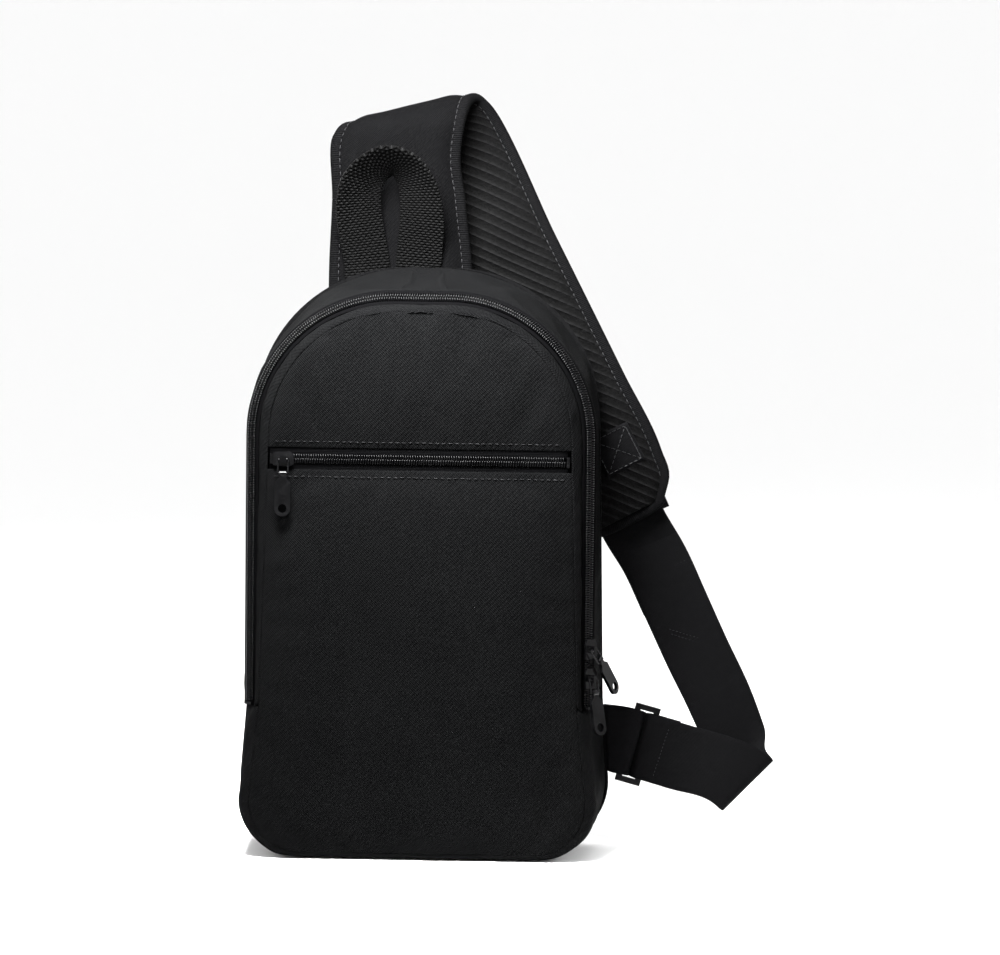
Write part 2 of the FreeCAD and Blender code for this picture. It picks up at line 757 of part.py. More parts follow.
def strap_sections():
    sections = []
    for z, x, wide in ((288.0, -15.6, 78.5), (313.0, -16.0, 77.5), (350.0, -17.4, 72.0)):
        sections.append(station((x, STRAP_Y, z), X_AXIS, (0, -1, 0), wide))
    steps = 8
    radius = size("strap_bend")
    for i in range(steps + 1):
        t = i / steps
        turn = math.radians(STRAP_TURN * t)
        roll = math.pi * t
        slope = math.radians(STRAP_TURN / 2)
        up = Vector(-math.sin(slope), 0, math.cos(slope))
        centre = blend(BEND_START, BEND_END, t) + up * (radius * math.sin(roll))
        centre.y = BEND_START.y + radius * (1 - math.cos(roll))
        across = (math.cos(turn), 0, math.sin(turn))
        normal = Vector(0, -math.cos(roll), 0) + up * math.sin(roll)
        sections.append(station(tuple(centre), across, tuple(normal), blend(70.0, 68.0, t)))
    across = (math.cos(math.radians(STRAP_TURN)), 0, math.sin(math.radians(STRAP_TURN)))
    for t, wide in ((0.35, 68.0), (0.7, 67.0), (0.9, 66.0), (0.965, 60.0), (1.0, 46.0)):
        centre = blend(BEND_END, STRAP_END, t)
        sections.append(station(tuple(centre), across, (0, 1, 0), wide))
    return sections


STRAP = strap_sections()
EDGE = 2 * size("strap_edge")
strip("strap_foam", STRAP[:-1], "Sizes.strap_foam_thick",
      lift=(size("strap_mesh_thick") - size("strap_face_thick")) / 2, narrower=EDGE)
strip("strap_face", STRAP[:-1], "Sizes.strap_face_thick",
      lift=(STRAP_TOTAL - size("strap_face_thick")) / 2, narrower=EDGE)
strip("strap_mesh", STRAP[:-1], "Sizes.strap_mesh_thick",
      lift=-(STRAP_TOTAL - size("strap_mesh_thick")) / 2, narrower=EDGE)


def strap_binding():
    """Tape that wraps the strap's edges and its end."""
    body = new_body("strap_binding")
    strip_loft(body, STRAP, "strap_binding_outer", STRAP_TOTAL + 0.4, "")
    strip_loft(body, STRAP[:-1], "strap_binding_inner", STRAP_TOTAL + 4.0, "", narrower=EDGE, cut=True)
    return body


strap_binding()


def along_strap(t):
    """A point on the middle line of the strap's long back limb, t from the bend to the tip."""
    return blend(BEND_END, STRAP_END, t)


STRAP_ACROSS = Vector(math.cos(math.radians(STRAP_TURN)), 0, math.sin(math.radians(STRAP_TURN)))


def strap_patch():
    """The stitched square of webbing near the tip of the strap, on its mesh side."""
    sections = []
    for t in (0.795, 0.91):
        centre = along_strap(t) + STRAP_ACROSS * 12.0
        sections.append(station(tuple(centre), tuple(STRAP_ACROSS), (0, 1, 0), 22.0))
    strip("strap_patch", sections, "Sizes.strap_face_thick",
          lift=-(STRAP_TOTAL + size("strap_face_thick")) / 2)


strap_patch()

# ---------------------------------------------------------------- grab handle

def handle_sections():
    """A webbing loop: flat feet side by side on the top seam, turned edge-on at the top."""
    route = [
        # x, y, z, turn of the width away from +X about +Z
        (-28.5, 41.2, 298.0, 0.0), (-29.0, 41.2, 314.0, 0.0), (-32.5, 38.0, 333.0, 14.0),
        (-35.5, 33.0, 350.0, 32.0), (-35.0, 28.5, 362.0, 50.0), (-30.5, 26.0, 371.0, 68.0),
        (-23.0, 25.5, 377.5, 82.0), (-14.0, 26.0, 376.0, 98.0), (-5.5, 27.5, 368.0, 114.0),
        (-0.5, 31.0, 355.0, 134.0), (1.0, 35.5, 341.0, 156.0), (0.2, 39.0, 327.0, 172.0),
        (-1.0, 41.2, 314.0, 180.0), (-1.6, 41.2, 298.0, 180.0),
    ]
    points = [Vector(x, y, z) for x, y, z, _ in route]
    sections = []
    for i, (x, y, z, turn) in enumerate(route):
        ahead = points[min(i + 1, len(points) - 1)] - points[max(i - 1, 0)]
        wide = Vector(math.cos(math.radians(turn)), math.sin(math.radians(turn)) * 0.92,
                      -math.sin(math.radians(turn)) * 0.38)
        wide = (wide - ahead * (wide.dot(ahead) / ahead.dot(ahead))).normalize()
        normal = ahead.cross(wide)
        sections.append(station((x, y, z), tuple(wide), tuple(normal), size("handle_wide")))
    return sections


strip("grab_handle", handle_sections(), "Sizes.handle_thick")

# ---------------------------------------------------------------- webbing, buckle and adjuster

WEB = size("webbing_wide")
SLOT_CLEAR = 0.8
LOWER_Y = 38.0
BUCKLE_CENTRE = Vector(116.5, LOWER_Y, 54.5)
BUCKLE_DOWN = Vector(0.966, 0, -0.26).normalize()
BUCKLE_UP = Vector(0.26, 0, 0.966).normalize()
LIMB_UP = Vector(0.35, 0, 0.937).normalize()
BAR_OFFSET = (size("buckle_wide") - size("buckle_bar")) / 2
WRAP = size("webbing_thick") / 2 + size("buckle_thick") / 2 + 0.45
WRAP_REACH = BAR_OFFSET - size("webbing_thick") / 2 - 0.25
ADJUSTER_ACROSS = Vector(0.911, 0, 0.41).normalize()
ADJUSTER_UP = Vector(-0.41, 0, 0.911).normalize()
ADJUSTER_Y = STRAP_END.y + STRAP_HALF + 2 * WRAP - 0.4
ADJUSTER_CENTRE = Vector(108.6, ADJUSTER_Y, 180.7)


def wrap(bar, way, across, first_side, tail=0.0):
    """Sections round a bar: in along way on one side (Y sign), round it, out on the other."""
    sections = []
    for distance, roll in ((tail, 0), (0.0, 0), (0.7, 45), (1.0, 90), (0.7, 135), (0.0, 180)):
        if roll == 0:
            centre = bar - way * distance
        else:
            centre = bar + way * (WRAP_REACH * distance)
        side = first_side * math.cos(math.radians(roll))
        centre.y = bar.y + WRAP * side
        normal = Vector(0, side, 0) + way * math.sin(math.radians(roll))
        sections.append(station(tuple(centre), tuple(across), tuple(normal), WEB))
    return sections if tail else sections[1:]


LIMB = ((169.5, 46.0, 57.0, 20.0), (161.0, 48.0, 78.0, 16.0), (148.0, 50.5, 104.0, 13.0),
        (135.2, 53.5, 131.0, 11.0), (124.5, ADJUSTER_Y - WRAP, 153.0, 4.0))


def webbing_sections():
    """From the side buckle out to the crease, round it, and up behind to the adjuster."""
    bar = BUCKLE_CENTRE + BUCKLE_DOWN * BAR_OFFSET
    sections = wrap(bar, BUCKLE_DOWN * -1, BUCKLE_UP, 1, tail=14.0)
    middle = BUCKLE_CENTRE + Vector(22.0, 0, -6.0)
    middle.y = LOWER_Y - WRAP - 0.4
    middle_across = Vector(0.38, 0, 0.925).normalize()
    sections.append(station(tuple(middle), tuple(middle_across), (0, -1, 0), WEB))
    crease = Vector(176.5, 0, 33.0)
    crease_long = 39.5
    crease_radius = 3.6
    crease_axis = Vector(0.70, 0, 0.715).normalize()
    crease_out = Vector(0.715, 0, -0.70).normalize()
    steps = 6
    for i in range(steps + 1):
        roll = math.pi * i / steps
        centre = crease + crease_out * (crease_radius * (math.sin(roll) - 1))
        centre.y = LOWER_Y - WRAP + crease_radius * (1 - math.cos(roll))
        normal = Vector(0, -math.cos(roll), 0) + crease_out * math.sin(roll)
        sections.append(station(tuple(centre), tuple(crease_axis), tuple(normal), crease_long))
    for x, y, z, twist in LIMB:
        sections.append(limb_section(x, y, z, twist, 0))
    sections += wrap(ADJUSTER_CENTRE - ADJUSTER_UP * BAR_OFFSET, ADJUSTER_UP, ADJUSTER_ACROSS, -1)
    back_layer = ((LIMB[4], 2 * WRAP), (LIMB[3], 2.6))
    for (x, y, z, twist), lift in back_layer:
        section = limb_section(x, y, z, twist, lift)
        section["normal"] = section["normal"] * -1
        sections.append(section)
    return sections


def limb_section(x, y, z, twist, lift):
    """A section of the long upper limb, twisted about its length and lifted off its face."""
    lean = math.radians(twist)
    across = ADJUSTER_ACROSS * math.cos(lean) + Vector(0, math.sin(lean), 0)
    normal = across.cross(ADJUSTER_UP) * -1
    centre = Vector(x, y, z) + normal.normalize() * lift
    return station(tuple(centre), tuple(across), tuple(normal), WEB)


def anchor_tab():
    """A doubled tab of webbing from the side seam of the bag round the buckle's near bar."""
    bar = BUCKLE_CENTRE - BUCKLE_DOWN * BAR_OFFSET
    side_lean = Vector(-size("back_kick"), 0, 1).normalize()
    root_height = 58.0
    root = Vector(BACK.x_at(root_height) + 0.1, 0, root_height)
    sections = wrap(bar, BUCKLE_DOWN, BUCKLE_UP, -1)
    front = Vector(root.x, LOWER_Y - WRAP, root.z)
    back = Vector(root.x, LOWER_Y + WRAP, root.z)
    first = station(tuple(front), tuple(side_lean), (0, -1, 0), WEB)
    last = station(tuple(back), tuple(side_lean), (0, 1, 0), WEB)
    strip("anchor_tab", [first] + sections + [last], "Sizes.webbing_thick")


def adjuster_tab():
    """A tab of webbing sewn to the outside of the strap's tip, round the adjuster's upper bar."""
    bar = ADJUSTER_CENTRE + ADJUSTER_UP * BAR_OFFSET
    sections = wrap(bar, ADJUSTER_UP * -1, ADJUSTER_ACROSS, 1, tail=12.0)
    inner_y = ADJUSTER_Y - WRAP
    root = bar + ADJUSTER_UP * 14.0
    root.y = inner_y + 0.6
    sections.append(station(tuple(root), tuple(ADJUSTER_ACROSS), (0, -1, 0), WEB))
    strip("adjuster_tab", sections, "Sizes.webbing_thick")


strip("long_webbing", webbing_sections(), "Sizes.webbing_thick")
anchor_tab()
adjuster_tab()


def ring_buckle(label, centre, bars_along):
    """A flat ring with two bars lying along a direction and one slot between them."""
    body = new_body(label)
    thick = size("buckle_thick")
    body.Placement = local_frame(bars_along, OUT_FRONT, centre)
    sketch = flat_sketch(body, label + "_frame", -thick / 2)
    draw_rectangle(sketch, size("buckle_wide"), size("buckle_long"),
                   "Sizes.buckle_wide", "Sizes.buckle_long")
    add_pad(body, sketch, "Sizes.buckle_thick")
    slot = flat_sketch(body, label + "_slot", thick)
    draw_rectangle(slot, size("buckle_wide") - 2 * size("buckle_bar"), WEB + 2 * SLOT_CLEAR,
                   "Sizes.buckle_wide - 2 * Sizes.buckle_bar")
    through_cut(body, slot, 2 * thick)


ring_buckle("side_buckle", BUCKLE_CENTRE, BUCKLE_UP)
ring_buckle("strap_adjuster", ADJUSTER_CENTRE, ADJUSTER_ACROSS)


def write_sub_parts():
    """Check every object, then write one STEP file for each sub-part."""
    doc.recompute()
    for item in doc.Objects:
        if "Invalid" in item.State or "Error" in item.State:
            raise RuntimeError(f"{item.Label} failed: {item.State}")
    os.makedirs(OUT_FOLDER, exist_ok=True)
    for body in sub_parts:
        if body.Shape.isNull() or not body.Shape.isValid():
            raise RuntimeError(f"{body.Label} has no valid shape")
        body.Shape.exportStep(f"{OUT_FOLDER}/{body.Label}.step")
        print(f"{body.Label}: {body.Shape.Volume:.0f} mm3")


write_sub_parts()
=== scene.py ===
import math

import bpy
import numpy as np
from mathutils import Matrix, Vector


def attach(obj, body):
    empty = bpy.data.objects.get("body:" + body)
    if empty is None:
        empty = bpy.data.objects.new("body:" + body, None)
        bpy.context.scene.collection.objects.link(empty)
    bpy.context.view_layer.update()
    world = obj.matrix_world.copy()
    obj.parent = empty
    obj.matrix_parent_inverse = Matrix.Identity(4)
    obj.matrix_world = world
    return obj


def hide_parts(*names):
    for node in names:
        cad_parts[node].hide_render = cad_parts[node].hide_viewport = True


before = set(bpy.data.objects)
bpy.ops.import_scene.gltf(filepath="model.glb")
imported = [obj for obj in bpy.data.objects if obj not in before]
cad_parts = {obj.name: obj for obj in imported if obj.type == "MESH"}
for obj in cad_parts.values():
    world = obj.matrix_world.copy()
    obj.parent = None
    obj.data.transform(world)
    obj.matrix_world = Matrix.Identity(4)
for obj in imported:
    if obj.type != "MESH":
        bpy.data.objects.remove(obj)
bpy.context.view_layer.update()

MM = 0.001


def vec(*values):
    return np.array(values, float)


def unit(v):
    return v / max(np.linalg.norm(v), 1e-9)


def smoothstep(low, high, x):
    t = np.clip((x - low) / (high - low), 0, 1)
    return t * t * (3 - 2 * t)


# ---------------------------------------------------------------- materials

class Nodes:
    """A small helper that adds shader nodes and links them by name."""

    def __init__(self, name):
        self.material = bpy.data.materials.new(name)
        self.material.use_nodes = True
        self.tree = self.material.node_tree
        self.shader = self.tree.nodes["Principled BSDF"]

    def add(self, kind, **settings):
        node = self.tree.nodes.new(kind)
        for key, value in settings.items():
            setattr(node, key, value)
        return node

    def link(self, source, target):
        self.tree.links.new(source, target)

    def math(self, operation, a, b=None, clamp=False):
        node = self.add("ShaderNodeMath", operation=operation, use_clamp=clamp)
        for socket, value in zip(node.inputs, (a, b)):
            if value is None:
                continue
            if isinstance(value, (int, float)):
                socket.default_value = value
            else:
                self.link(value, socket)
        return node.outputs[0]

    def plus(self, a, b):
        return self.math("ADD", a, b)

    def times(self, a, b):
        return self.math("MULTIPLY", a, b)

    def wave(self, length, turn):
        """A sine along a length that turns by so many radians a metre."""
        return self.math("SINE", self.times(length, turn))

    def drive(self, key, source):
        """Link a value into one of the surface's inputs."""
        self.link(source, self.shader.inputs[key])

    def surface(self, **values):
        """Set the surface's inputs, named with underscores for spaces."""
        for key, value in values.items():
            self.shader.inputs[key.replace("_", " ")].default_value = value

    def noise(self, coordinates, scale, detail=3.0, roughness=0.55):
        node = self.add("ShaderNodeTexNoise")
        node.inputs["Scale"].default_value = scale
        node.inputs["Detail"].default_value = detail
        node.inputs["Roughness"].default_value = roughness
        self.link(coordinates, node.inputs["Vector"])
        return node.outputs["Fac"]

    def bump(self, height, distance, strength=1.0, below=None):
        node = self.add("ShaderNodeBump")
        node.inputs["Distance"].default_value = distance
        node.inputs["Strength"].default_value = strength
        self.link(height, node.inputs["Height"])
        if below is not None:
            self.link(below, node.inputs["Normal"])
        return node.outputs["Normal"]

    def mix(self, factor, dark, light):
        node = self.add("ShaderNodeMix", data_type="RGBA")
        self.link(factor, node.inputs["Factor"])
        node.inputs["A"].default_value = (*dark, 1)
        node.inputs["B"].default_value = (*light, 1)
        return node.outputs["Result"]

    def ramp(self, value, low, high):
        node = self.add("ShaderNodeMapRange")
        node.inputs["From Min"].default_value = low
        node.inputs["From Max"].default_value = high
        self.link(value, node.inputs["Value"])
        return node.outputs["Result"]


def weave_height(nodes, kind, u, v, pitch):
    """The height of a weave, 0 to 1, from two surface lengths in metres."""
    turn = 2 * math.pi / pitch
    if kind == "twill":
        lean = nodes.wave(nodes.plus(u, v), turn)
        yarn = nodes.wave(nodes.math("SUBTRACT", u, v), turn * 0.5)
        return nodes.plus(nodes.plus(nodes.times(lean, 0.35), nodes.times(yarn, 0.15)), 0.5)
    if kind == "basket":
        row = nodes.math("FLOOR", nodes.times(v, 2 / pitch))
        shift = nodes.times(nodes.math("MODULO", row, 2.0), math.pi / 2)
        across = nodes.math("ABSOLUTE", nodes.math("SINE", nodes.plus(nodes.times(u, turn / 2), shift)))
        along = nodes.math("ABSOLUTE", nodes.wave(v, turn))
        # The power sharpens the crossings into small bright dots: a real basket weave, and in the colour
        # also painted glints on the threads.
        return nodes.math("POWER", nodes.times(across, along), 1.8)
    if kind == "ribs":
        return nodes.plus(nodes.times(nodes.wave(u, turn), 0.5), 0.5)
    # Spacer mesh: thin raised ribs on a slant, each broken by a row of small holes.
    lean = nodes.math("SUBTRACT", nodes.times(u, 0.77), nodes.times(v, 0.64))
    cross = nodes.plus(nodes.times(u, 0.64), nodes.times(v, 0.77))
    valley = nodes.math("ABSOLUTE", nodes.wave(lean, turn / 2))
    rib = nodes.math("POWER", nodes.math("SUBTRACT", 1.0, valley), 1.6)
    hole = nodes.math("ABSOLUTE", nodes.wave(cross, turn / 2))
    return nodes.times(rib, nodes.plus(nodes.times(hole, 0.45), 0.55))


def fabric(name, dark, light, kind, pitch, depth, rough=0.74, shine=0.008, grain_share=0.38):
    """Woven cloth: a weave laid out on the surface's own lengths, uneven dye, fibre sheen."""
    nodes = Nodes(name)
    uv = nodes.add("ShaderNodeUVMap", uv_map="lengths").outputs["UV"]
    split = nodes.add("ShaderNodeSeparateXYZ")
    nodes.link(uv, split.inputs[0])
    spot = nodes.add("ShaderNodeTexCoord").outputs["Object"]
    weave = weave_height(nodes, kind, split.outputs["X"], split.outputs["Y"], pitch)
    grain = nodes.noise(spot, 1100.0, 4.0, 0.7)
    patchy = nodes.noise(spot, 22.0, 4.0)
    tone = nodes.times(nodes.ramp(patchy, 0.32, 0.70), 0.16)
    # The weave sets part of the colour. On the handle's basket weave its bright crossings are painted
    # glints.
    tone = nodes.plus(tone, nodes.times(weave, 0.84 - grain_share))
    speckle = nodes.times(nodes.ramp(grain, 0.42, 0.62), grain_share)
    nodes.drive("Base Color", nodes.mix(nodes.math("ADD", tone, speckle, clamp=True), dark, light))
    nodes.drive("Roughness", nodes.plus(nodes.times(patchy, 0.16), rough - 0.08))
    height = nodes.plus(weave, nodes.times(grain, 0.6))
    soft = nodes.bump(nodes.noise(spot, 240.0, 3.0), 0.00025)
    nodes.drive("Normal", nodes.bump(height, depth, 1.0, soft))
    nodes.surface(Sheen_Weight=0.001, Sheen_Roughness=0.45, Specular_IOR_Level=shine)
    return nodes.material


def hard(name, dark, light, rough, shine, coat=0.0):
    """Moulded plastic or enamelled metal, with fine wear."""
    nodes = Nodes(name)
    spot = nodes.add("ShaderNodeTexCoord").outputs["Object"]
    patchy = nodes.noise(spot, 160.0, 5.0)
    fine = nodes.noise(spot, 1800.0, 3.0)
    nodes.drive("Base Color", nodes.mix(nodes.ramp(patchy, 0.4, 0.75), dark, light))
    nodes.drive("Roughness", nodes.plus(nodes.times(patchy, 0.2), rough - 0.1))
    nodes.drive("Normal", nodes.bump(fine, 0.00003))
    nodes.surface(Specular_IOR_Level=shine, Coat_Weight=coat)
    return nodes.material


NIGHT = (0.0003, 0.0003, 0.0004)
CASE_CLOTH = fabric("case_cloth", NIGHT, (0.0038, 0.0039, 0.0040), "twill", 0.0013, 0.0005)
STRAP_CLOTH = fabric("strap_cloth", NIGHT, (0.0024, 0.0024, 0.0025), "twill", 0.0010, 0.0002)
BINDING = fabric("binding_tape", NIGHT, (0.0026, 0.0026, 0.0027), "ribs", 0.0010, 0.0002)
PITCH_BLACK = (0.0001, 0.0001, 0.0001)
MESH = fabric("spacer_mesh", PITCH_BLACK, (0.0036, 0.0036, 0.0037), "mesh", 0.0046, 0.0012, 0.6,
              shine=0.02, grain_share=0.06)
ZIP_TAPE = fabric("zip_tape", NIGHT, (0.0012, 0.0012, 0.0013), "ribs", 0.0008, 0.00012)
WEBBING = fabric("webbing", (0.0007, 0.0007, 0.0008), (0.0030, 0.0030, 0.0032), "ribs", 0.0007, 0.00008,
                 rough=0.62)
# The handle's colour runs from near black to light along its sharpened weave: the weave is real, and the
# bright dots are painted glints.
HANDLE_WEB = fabric("handle_webbing", PITCH_BLACK, (0.0044, 0.0044, 0.0045), "basket", 0.0030, 0.0014, 0.5,
                    shine=0.02, grain_share=0.04)
LINING = fabric("lining_cloth", NIGHT, (0.0034, 0.0034, 0.0035), "twill", 0.0008, 0.0001)
THREAD = fabric("thread", (0.003, 0.003, 0.0033), (0.020, 0.020, 0.021), "ribs", 0.0006, 0.0001, 0.45,
                shine=0.10)
TEETH = hard("zip_teeth", (0.0005, 0.0005, 0.0006), (0.0018, 0.0018, 0.0019), 0.20, shine=0.06)
ENAMEL = hard("zip_enamel", (0.0006, 0.0006, 0.0007), (0.0028, 0.0028, 0.0030), 0.18, shine=0.10, coat=0.03)
PLASTIC = hard("buckle_plastic", (0.0006, 0.0006, 0.0007), (0.0018, 0.0018, 0.0019), 0.32, shine=0.06)


# ---------------------------------------------------------------- mesh helpers

def new_object(name, points, faces, material, uvs=None):
    """A mesh object from points in millimetres; uvs are surface lengths in millimetres."""
    mesh = bpy.data.meshes.new(name)
    mesh.from_pydata([tuple(p) for p in np.asarray(points) * MM], [], [tuple(f) for f in faces])
    mesh.validate()
    if uvs is not None:
        layer = mesh.uv_layers.new(name="lengths")
        loop_vertex = np.zeros(len(mesh.loops), int)
        mesh.loops.foreach_get("vertex_index", loop_vertex)
        layer.data.foreach_set("uv", (np.asarray(uvs)[loop_vertex] * MM).ravel())
    mesh.polygons.foreach_set("use_smooth", [True] * len(mesh.polygons))
    mesh.materials.append(material)
    obj = bpy.data.objects.new(name, mesh)
    bpy.context.scene.collection.objects.link(obj)
    return obj


def grid_faces(rows, columns, closed=False, start=0):
    """Quads over a grid of rows and columns; closed joins the last column to the first."""
    faces = []
    for i in range(rows - 1):
        for j in range(columns if closed else columns - 1):
            k = (j + 1) % columns
            faces.append((start + i * columns + j, start + i * columns + k,
                          start + (i + 1) * columns + k, start + (i + 1) * columns + j))
    return faces


def end_caps(rows, columns, start=0):
    """The two faces that close the first and last rings of a closed grid."""
    last = start + (rows - 1) * columns
    return [tuple(start + j for j in reversed(range(columns))), tuple(last + j for j in range(columns))]


def grid_uvs(grid):
    """Surface lengths along the rows and columns of a grid of points."""
    across = np.linalg.norm(np.diff(grid, axis=1), axis=2)
    along = np.linalg.norm(np.diff(grid, axis=0), axis=2)
    u = np.concatenate([np.zeros((len(grid), 1)), np.cumsum(across, axis=1)], axis=1)
    v = np.concatenate([np.zeros((1, grid.shape[1])), np.cumsum(along, axis=0)], axis=0)
    u -= u[:, -1:] / 2
    middle = v[:, grid.shape[1] // 2][:, None]
    return np.stack([u, np.repeat(middle, grid.shape[1], axis=1)], axis=2).reshape(-1, 2)


def run_lengths(points):
    """The length run up to each point of a path."""
    return np.concatenate([[0], np.cumsum(np.linalg.norm(np.diff(points, axis=0), axis=1))])


def face_away(obj, centre):
    """Turn the faces so that most of them look away from a point, given in millimetres."""
    mesh = obj.data
    outward = sum((p.center - Vector(centre) * MM).normalized().dot(p.normal) * p.area
                  for p in mesh.polygons)
    if outward < 0:
        mesh.flip_normals()


def sheet(name, grid, material, thickness, offset=-1.0, flip=False):
    """A sheet over a grid of points, thickened inwards or, with an offset of 0, to both sides."""
    faces = grid_faces(*grid.shape[:2])
    if flip:
        faces = [tuple(reversed(face)) for face in faces]
    obj = new_object(name, grid.reshape(-1, 3), faces, material, grid_uvs(grid))
    solid = obj.modifiers.new("thickness", "SOLIDIFY")
    solid.thickness = thickness * MM
    solid.offset = offset
    return obj


def subdivide(obj):
    """Round a mesh off by one level."""
    modifier = obj.modifiers.new("smooth", "SUBSURF")
    modifier.levels = modifier.render_levels = 1


def wavy(points, amount, length, seed):
    """Smooth pseudo-random offsets, about one millimetre times amount, for each point."""
    generator = np.random.default_rng(seed)
    total = np.zeros(len(points))
    for _ in range(9):
        direction = unit(generator.normal(size=3))
        phase = generator.uniform(0, 2 * math.pi)
        wave = length * generator.uniform(0.6, 1.7)
        total += np.sin(points @ direction * (2 * math.pi / wave) + phase)
    return total * amount / 3.0


# ---------------------------------------------------------------- strips along a path

def section(centre, across, normal, wide):
    """One place along a strip: its centre, the way across it, the way out of its face, its width."""
    across = unit(vec(*across))
    normal = vec(*normal)
    normal = unit(normal - across * normal.dot(across))
    return {"centre": vec(*centre), "across": across, "normal": normal, "wide": float(wide)}


def spot_on(s, across, out):
    """A point of a section, so far across it and so far out of its face."""
    return s["centre"] + s["across"] * across + s["normal"] * out


def resample(sections, step):
    """A smooth run of sections every step millimetres through the given ones."""
    rows = np.array([np.concatenate([s["centre"], s["across"], s["normal"], [s["wide"]]])
                     for s in sections])
    gaps = np.linalg.norm(np.diff(rows[:, :3], axis=0), axis=1)
    gaps = np.maximum(gaps, 0.3)
    slope = np.zeros_like(rows)
    for i in range(len(rows)):
        if i == 0:
            slope[i] = (rows[1] - rows[0]) / gaps[0]
        elif i == len(rows) - 1:
            slope[i] = (rows[-1] - rows[-2]) / gaps[-1]
        else:
            left = (rows[i] - rows[i - 1]) / gaps[i - 1]
            right = (rows[i + 1] - rows[i]) / gaps[i]
            slope[i] = (left * gaps[i] + right * gaps[i - 1]) / (gaps[i] + gaps[i - 1])
    result = []
    for i in range(len(gaps)):
        count = max(1, int(round(gaps[i] / step)))
        for k in range(count + (i == len(gaps) - 1)):
            t = k / count
            h = gaps[i]
            row = ((2 * t**3 - 3 * t**2 + 1) * rows[i] + (t**3 - 2 * t**2 + t) * h * slope[i]
                   + (3 * t**2 - 2 * t**3) * rows[i + 1] + (t**3 - t**2) * h * slope[i + 1])
            result.append(section(row[:3], row[3:6], row[6:9], row[9]))
    return result


def sweep(name, sections, profile, material):
    """Carry a closed profile, a function of the section giving (across, out) pairs, along."""
    grid = np.array([[spot_on(s, a, n) for a, n in profile(s)] for s in sections])
    rows, columns = grid.shape[:2]
    around = np.linalg.norm(np.roll(grid, -1, axis=1) - grid, axis=2)
    u = np.concatenate([np.zeros((rows, 1)), np.cumsum(around, axis=1)[:, :-1]], axis=1)
    v = run_lengths(np.array([s["centre"] for s in sections]))
    uvs = np.stack([u, np.repeat(v[:, None], columns, axis=1)], axis=2).reshape(-1, 2)
    faces = grid_faces(rows, columns, closed=True) + end_caps(rows, columns)
    return new_object(name, grid.reshape(-1, 3), faces, material, uvs)


def flat_profile(thick, columns):
    """A webbing cross-section: flat faces and rounded edges."""
    roll = 0.6

    def points(s):
        half, out = s["wide"] / 2, thick / 2
        across = np.linspace(-1, 1, columns)
        top = [(a * (half - roll), out) for a in across]
        bottom = [(a * (half - roll), -out) for a in across[::-1]]
        right = [(half - roll * 0.3, out * 0.7), (half, 0), (half - roll * 0.3, -out * 0.7)]
        left = [(-a, -n) for a, n in right]
        return top + right + bottom + left
    return points


def stitches(name, path, normals, long=2.6, gap=1.0, thick=0.45, lift=0.1):
    """A row of thread stitches sunk into a surface along a path."""
    path = np.asarray(path, float)
    normals = np.asarray(normals, float)
    at = run_lengths(path)
    points, faces, uvs = [], [], []
    start = 0.0
    while start + long < at[-1]:
        ends = []
        for distance in (start, start + long):
            p = [np.interp(distance, at, path[:, k]) for k in range(3)]
            n = [np.interp(distance, at, normals[:, k]) for k in range(3)]
            ends.append((vec(*p), unit(vec(*n))))
        (a, na), (b, _) = ends
        ahead = unit(b - a)
        side = unit(np.cross(ahead, na))
        base = len(points)
        for t, swell, rise in ((0.0, 0.35, -0.35), (0.2, 0.9, 0.25), (0.5, 1.0, 0.45),
                               (0.8, 0.9, 0.25), (1.0, 0.35, -0.35)):
            middle = a + (b - a) * t + na * (lift + thick * rise)
            for turn in range(6):
                angle = turn * math.pi / 3
                offset = (side * math.cos(angle) + na * math.sin(angle)) * thick / 2 * swell
                points.append(middle + offset)
                uvs.append((turn * 0.2, t * long))
        faces += grid_faces(5, 6, closed=True, start=base) + end_caps(5, 6, base)
        start += long + gap
    obj = new_object(name, points, faces, THREAD, uvs)
    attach(obj, "bag")


def place(obj, slot_name, *nodes):
    """Attach a piece to the bag's own body and hide the nodes that it stands for; the slot name is not
    used.
    """
    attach(obj, "bag")
    if nodes:
        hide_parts(*nodes)
    return obj


# ---------------------------------------------------------------- the case

DEPTH_FRONT, DEPTH_BORDER, DEPTH_ZIP, DEPTH_SEAM, DEPTH_BACK = -40.0, -33.5, -26.5, 35.0, 40.0
ZIP_Z, ZIP_GAP = 216.0, 6.5
KINK = 82.0
COLUMNS = 40
MIDDLE_Z = 150.0
SEW_OFF = 9.4


class Outline:
    """One outline of the case: matching points up its right side, mirrored for the left.

    The sides lean by the slope flare down to the kink, and by the slope kick below it.
    """

    def __init__(self, half, top, base, crown, corner, flare=0.0, kick=0.0):
        self.half, self.top, self.base = half, top, base
        self.crown, self.corner, self.flare, self.kick = crown, corner, flare, kick

    def x_at(self, z):
        return self.half + self.flare * (230.0 - max(z, KINK)) + self.kick * max(KINK - z, 0.0)

    def side(self):
        """Points (x, z) from the end of the flat base up to the end of the flat top."""
        points = []
        low, high = self.base + self.corner, self.top - self.crown
        x = self.x_at(low)
        for k in range(9):
            angle = -math.pi / 2 + k * math.pi / 18
            points.append((x - self.corner + self.corner * math.cos(angle),
                           low + self.corner * math.sin(angle)))
        heights = np.concatenate([np.linspace(low, ZIP_Z - ZIP_GAP, 42)[:-1],
                                  np.linspace(ZIP_Z - ZIP_GAP, ZIP_Z + ZIP_GAP, 5)])
        heights = heights[heights < high - 0.5] if high < ZIP_Z + ZIP_GAP else heights
        points += [(self.x_at(z), z) for z in heights]
        x = self.x_at(high)
        for k in range(25):
            angle = k * math.pi / 48
            points.append((x - self.crown + self.crown * math.cos(angle),
                           high + self.crown * math.sin(angle)))
        return np.array(points)


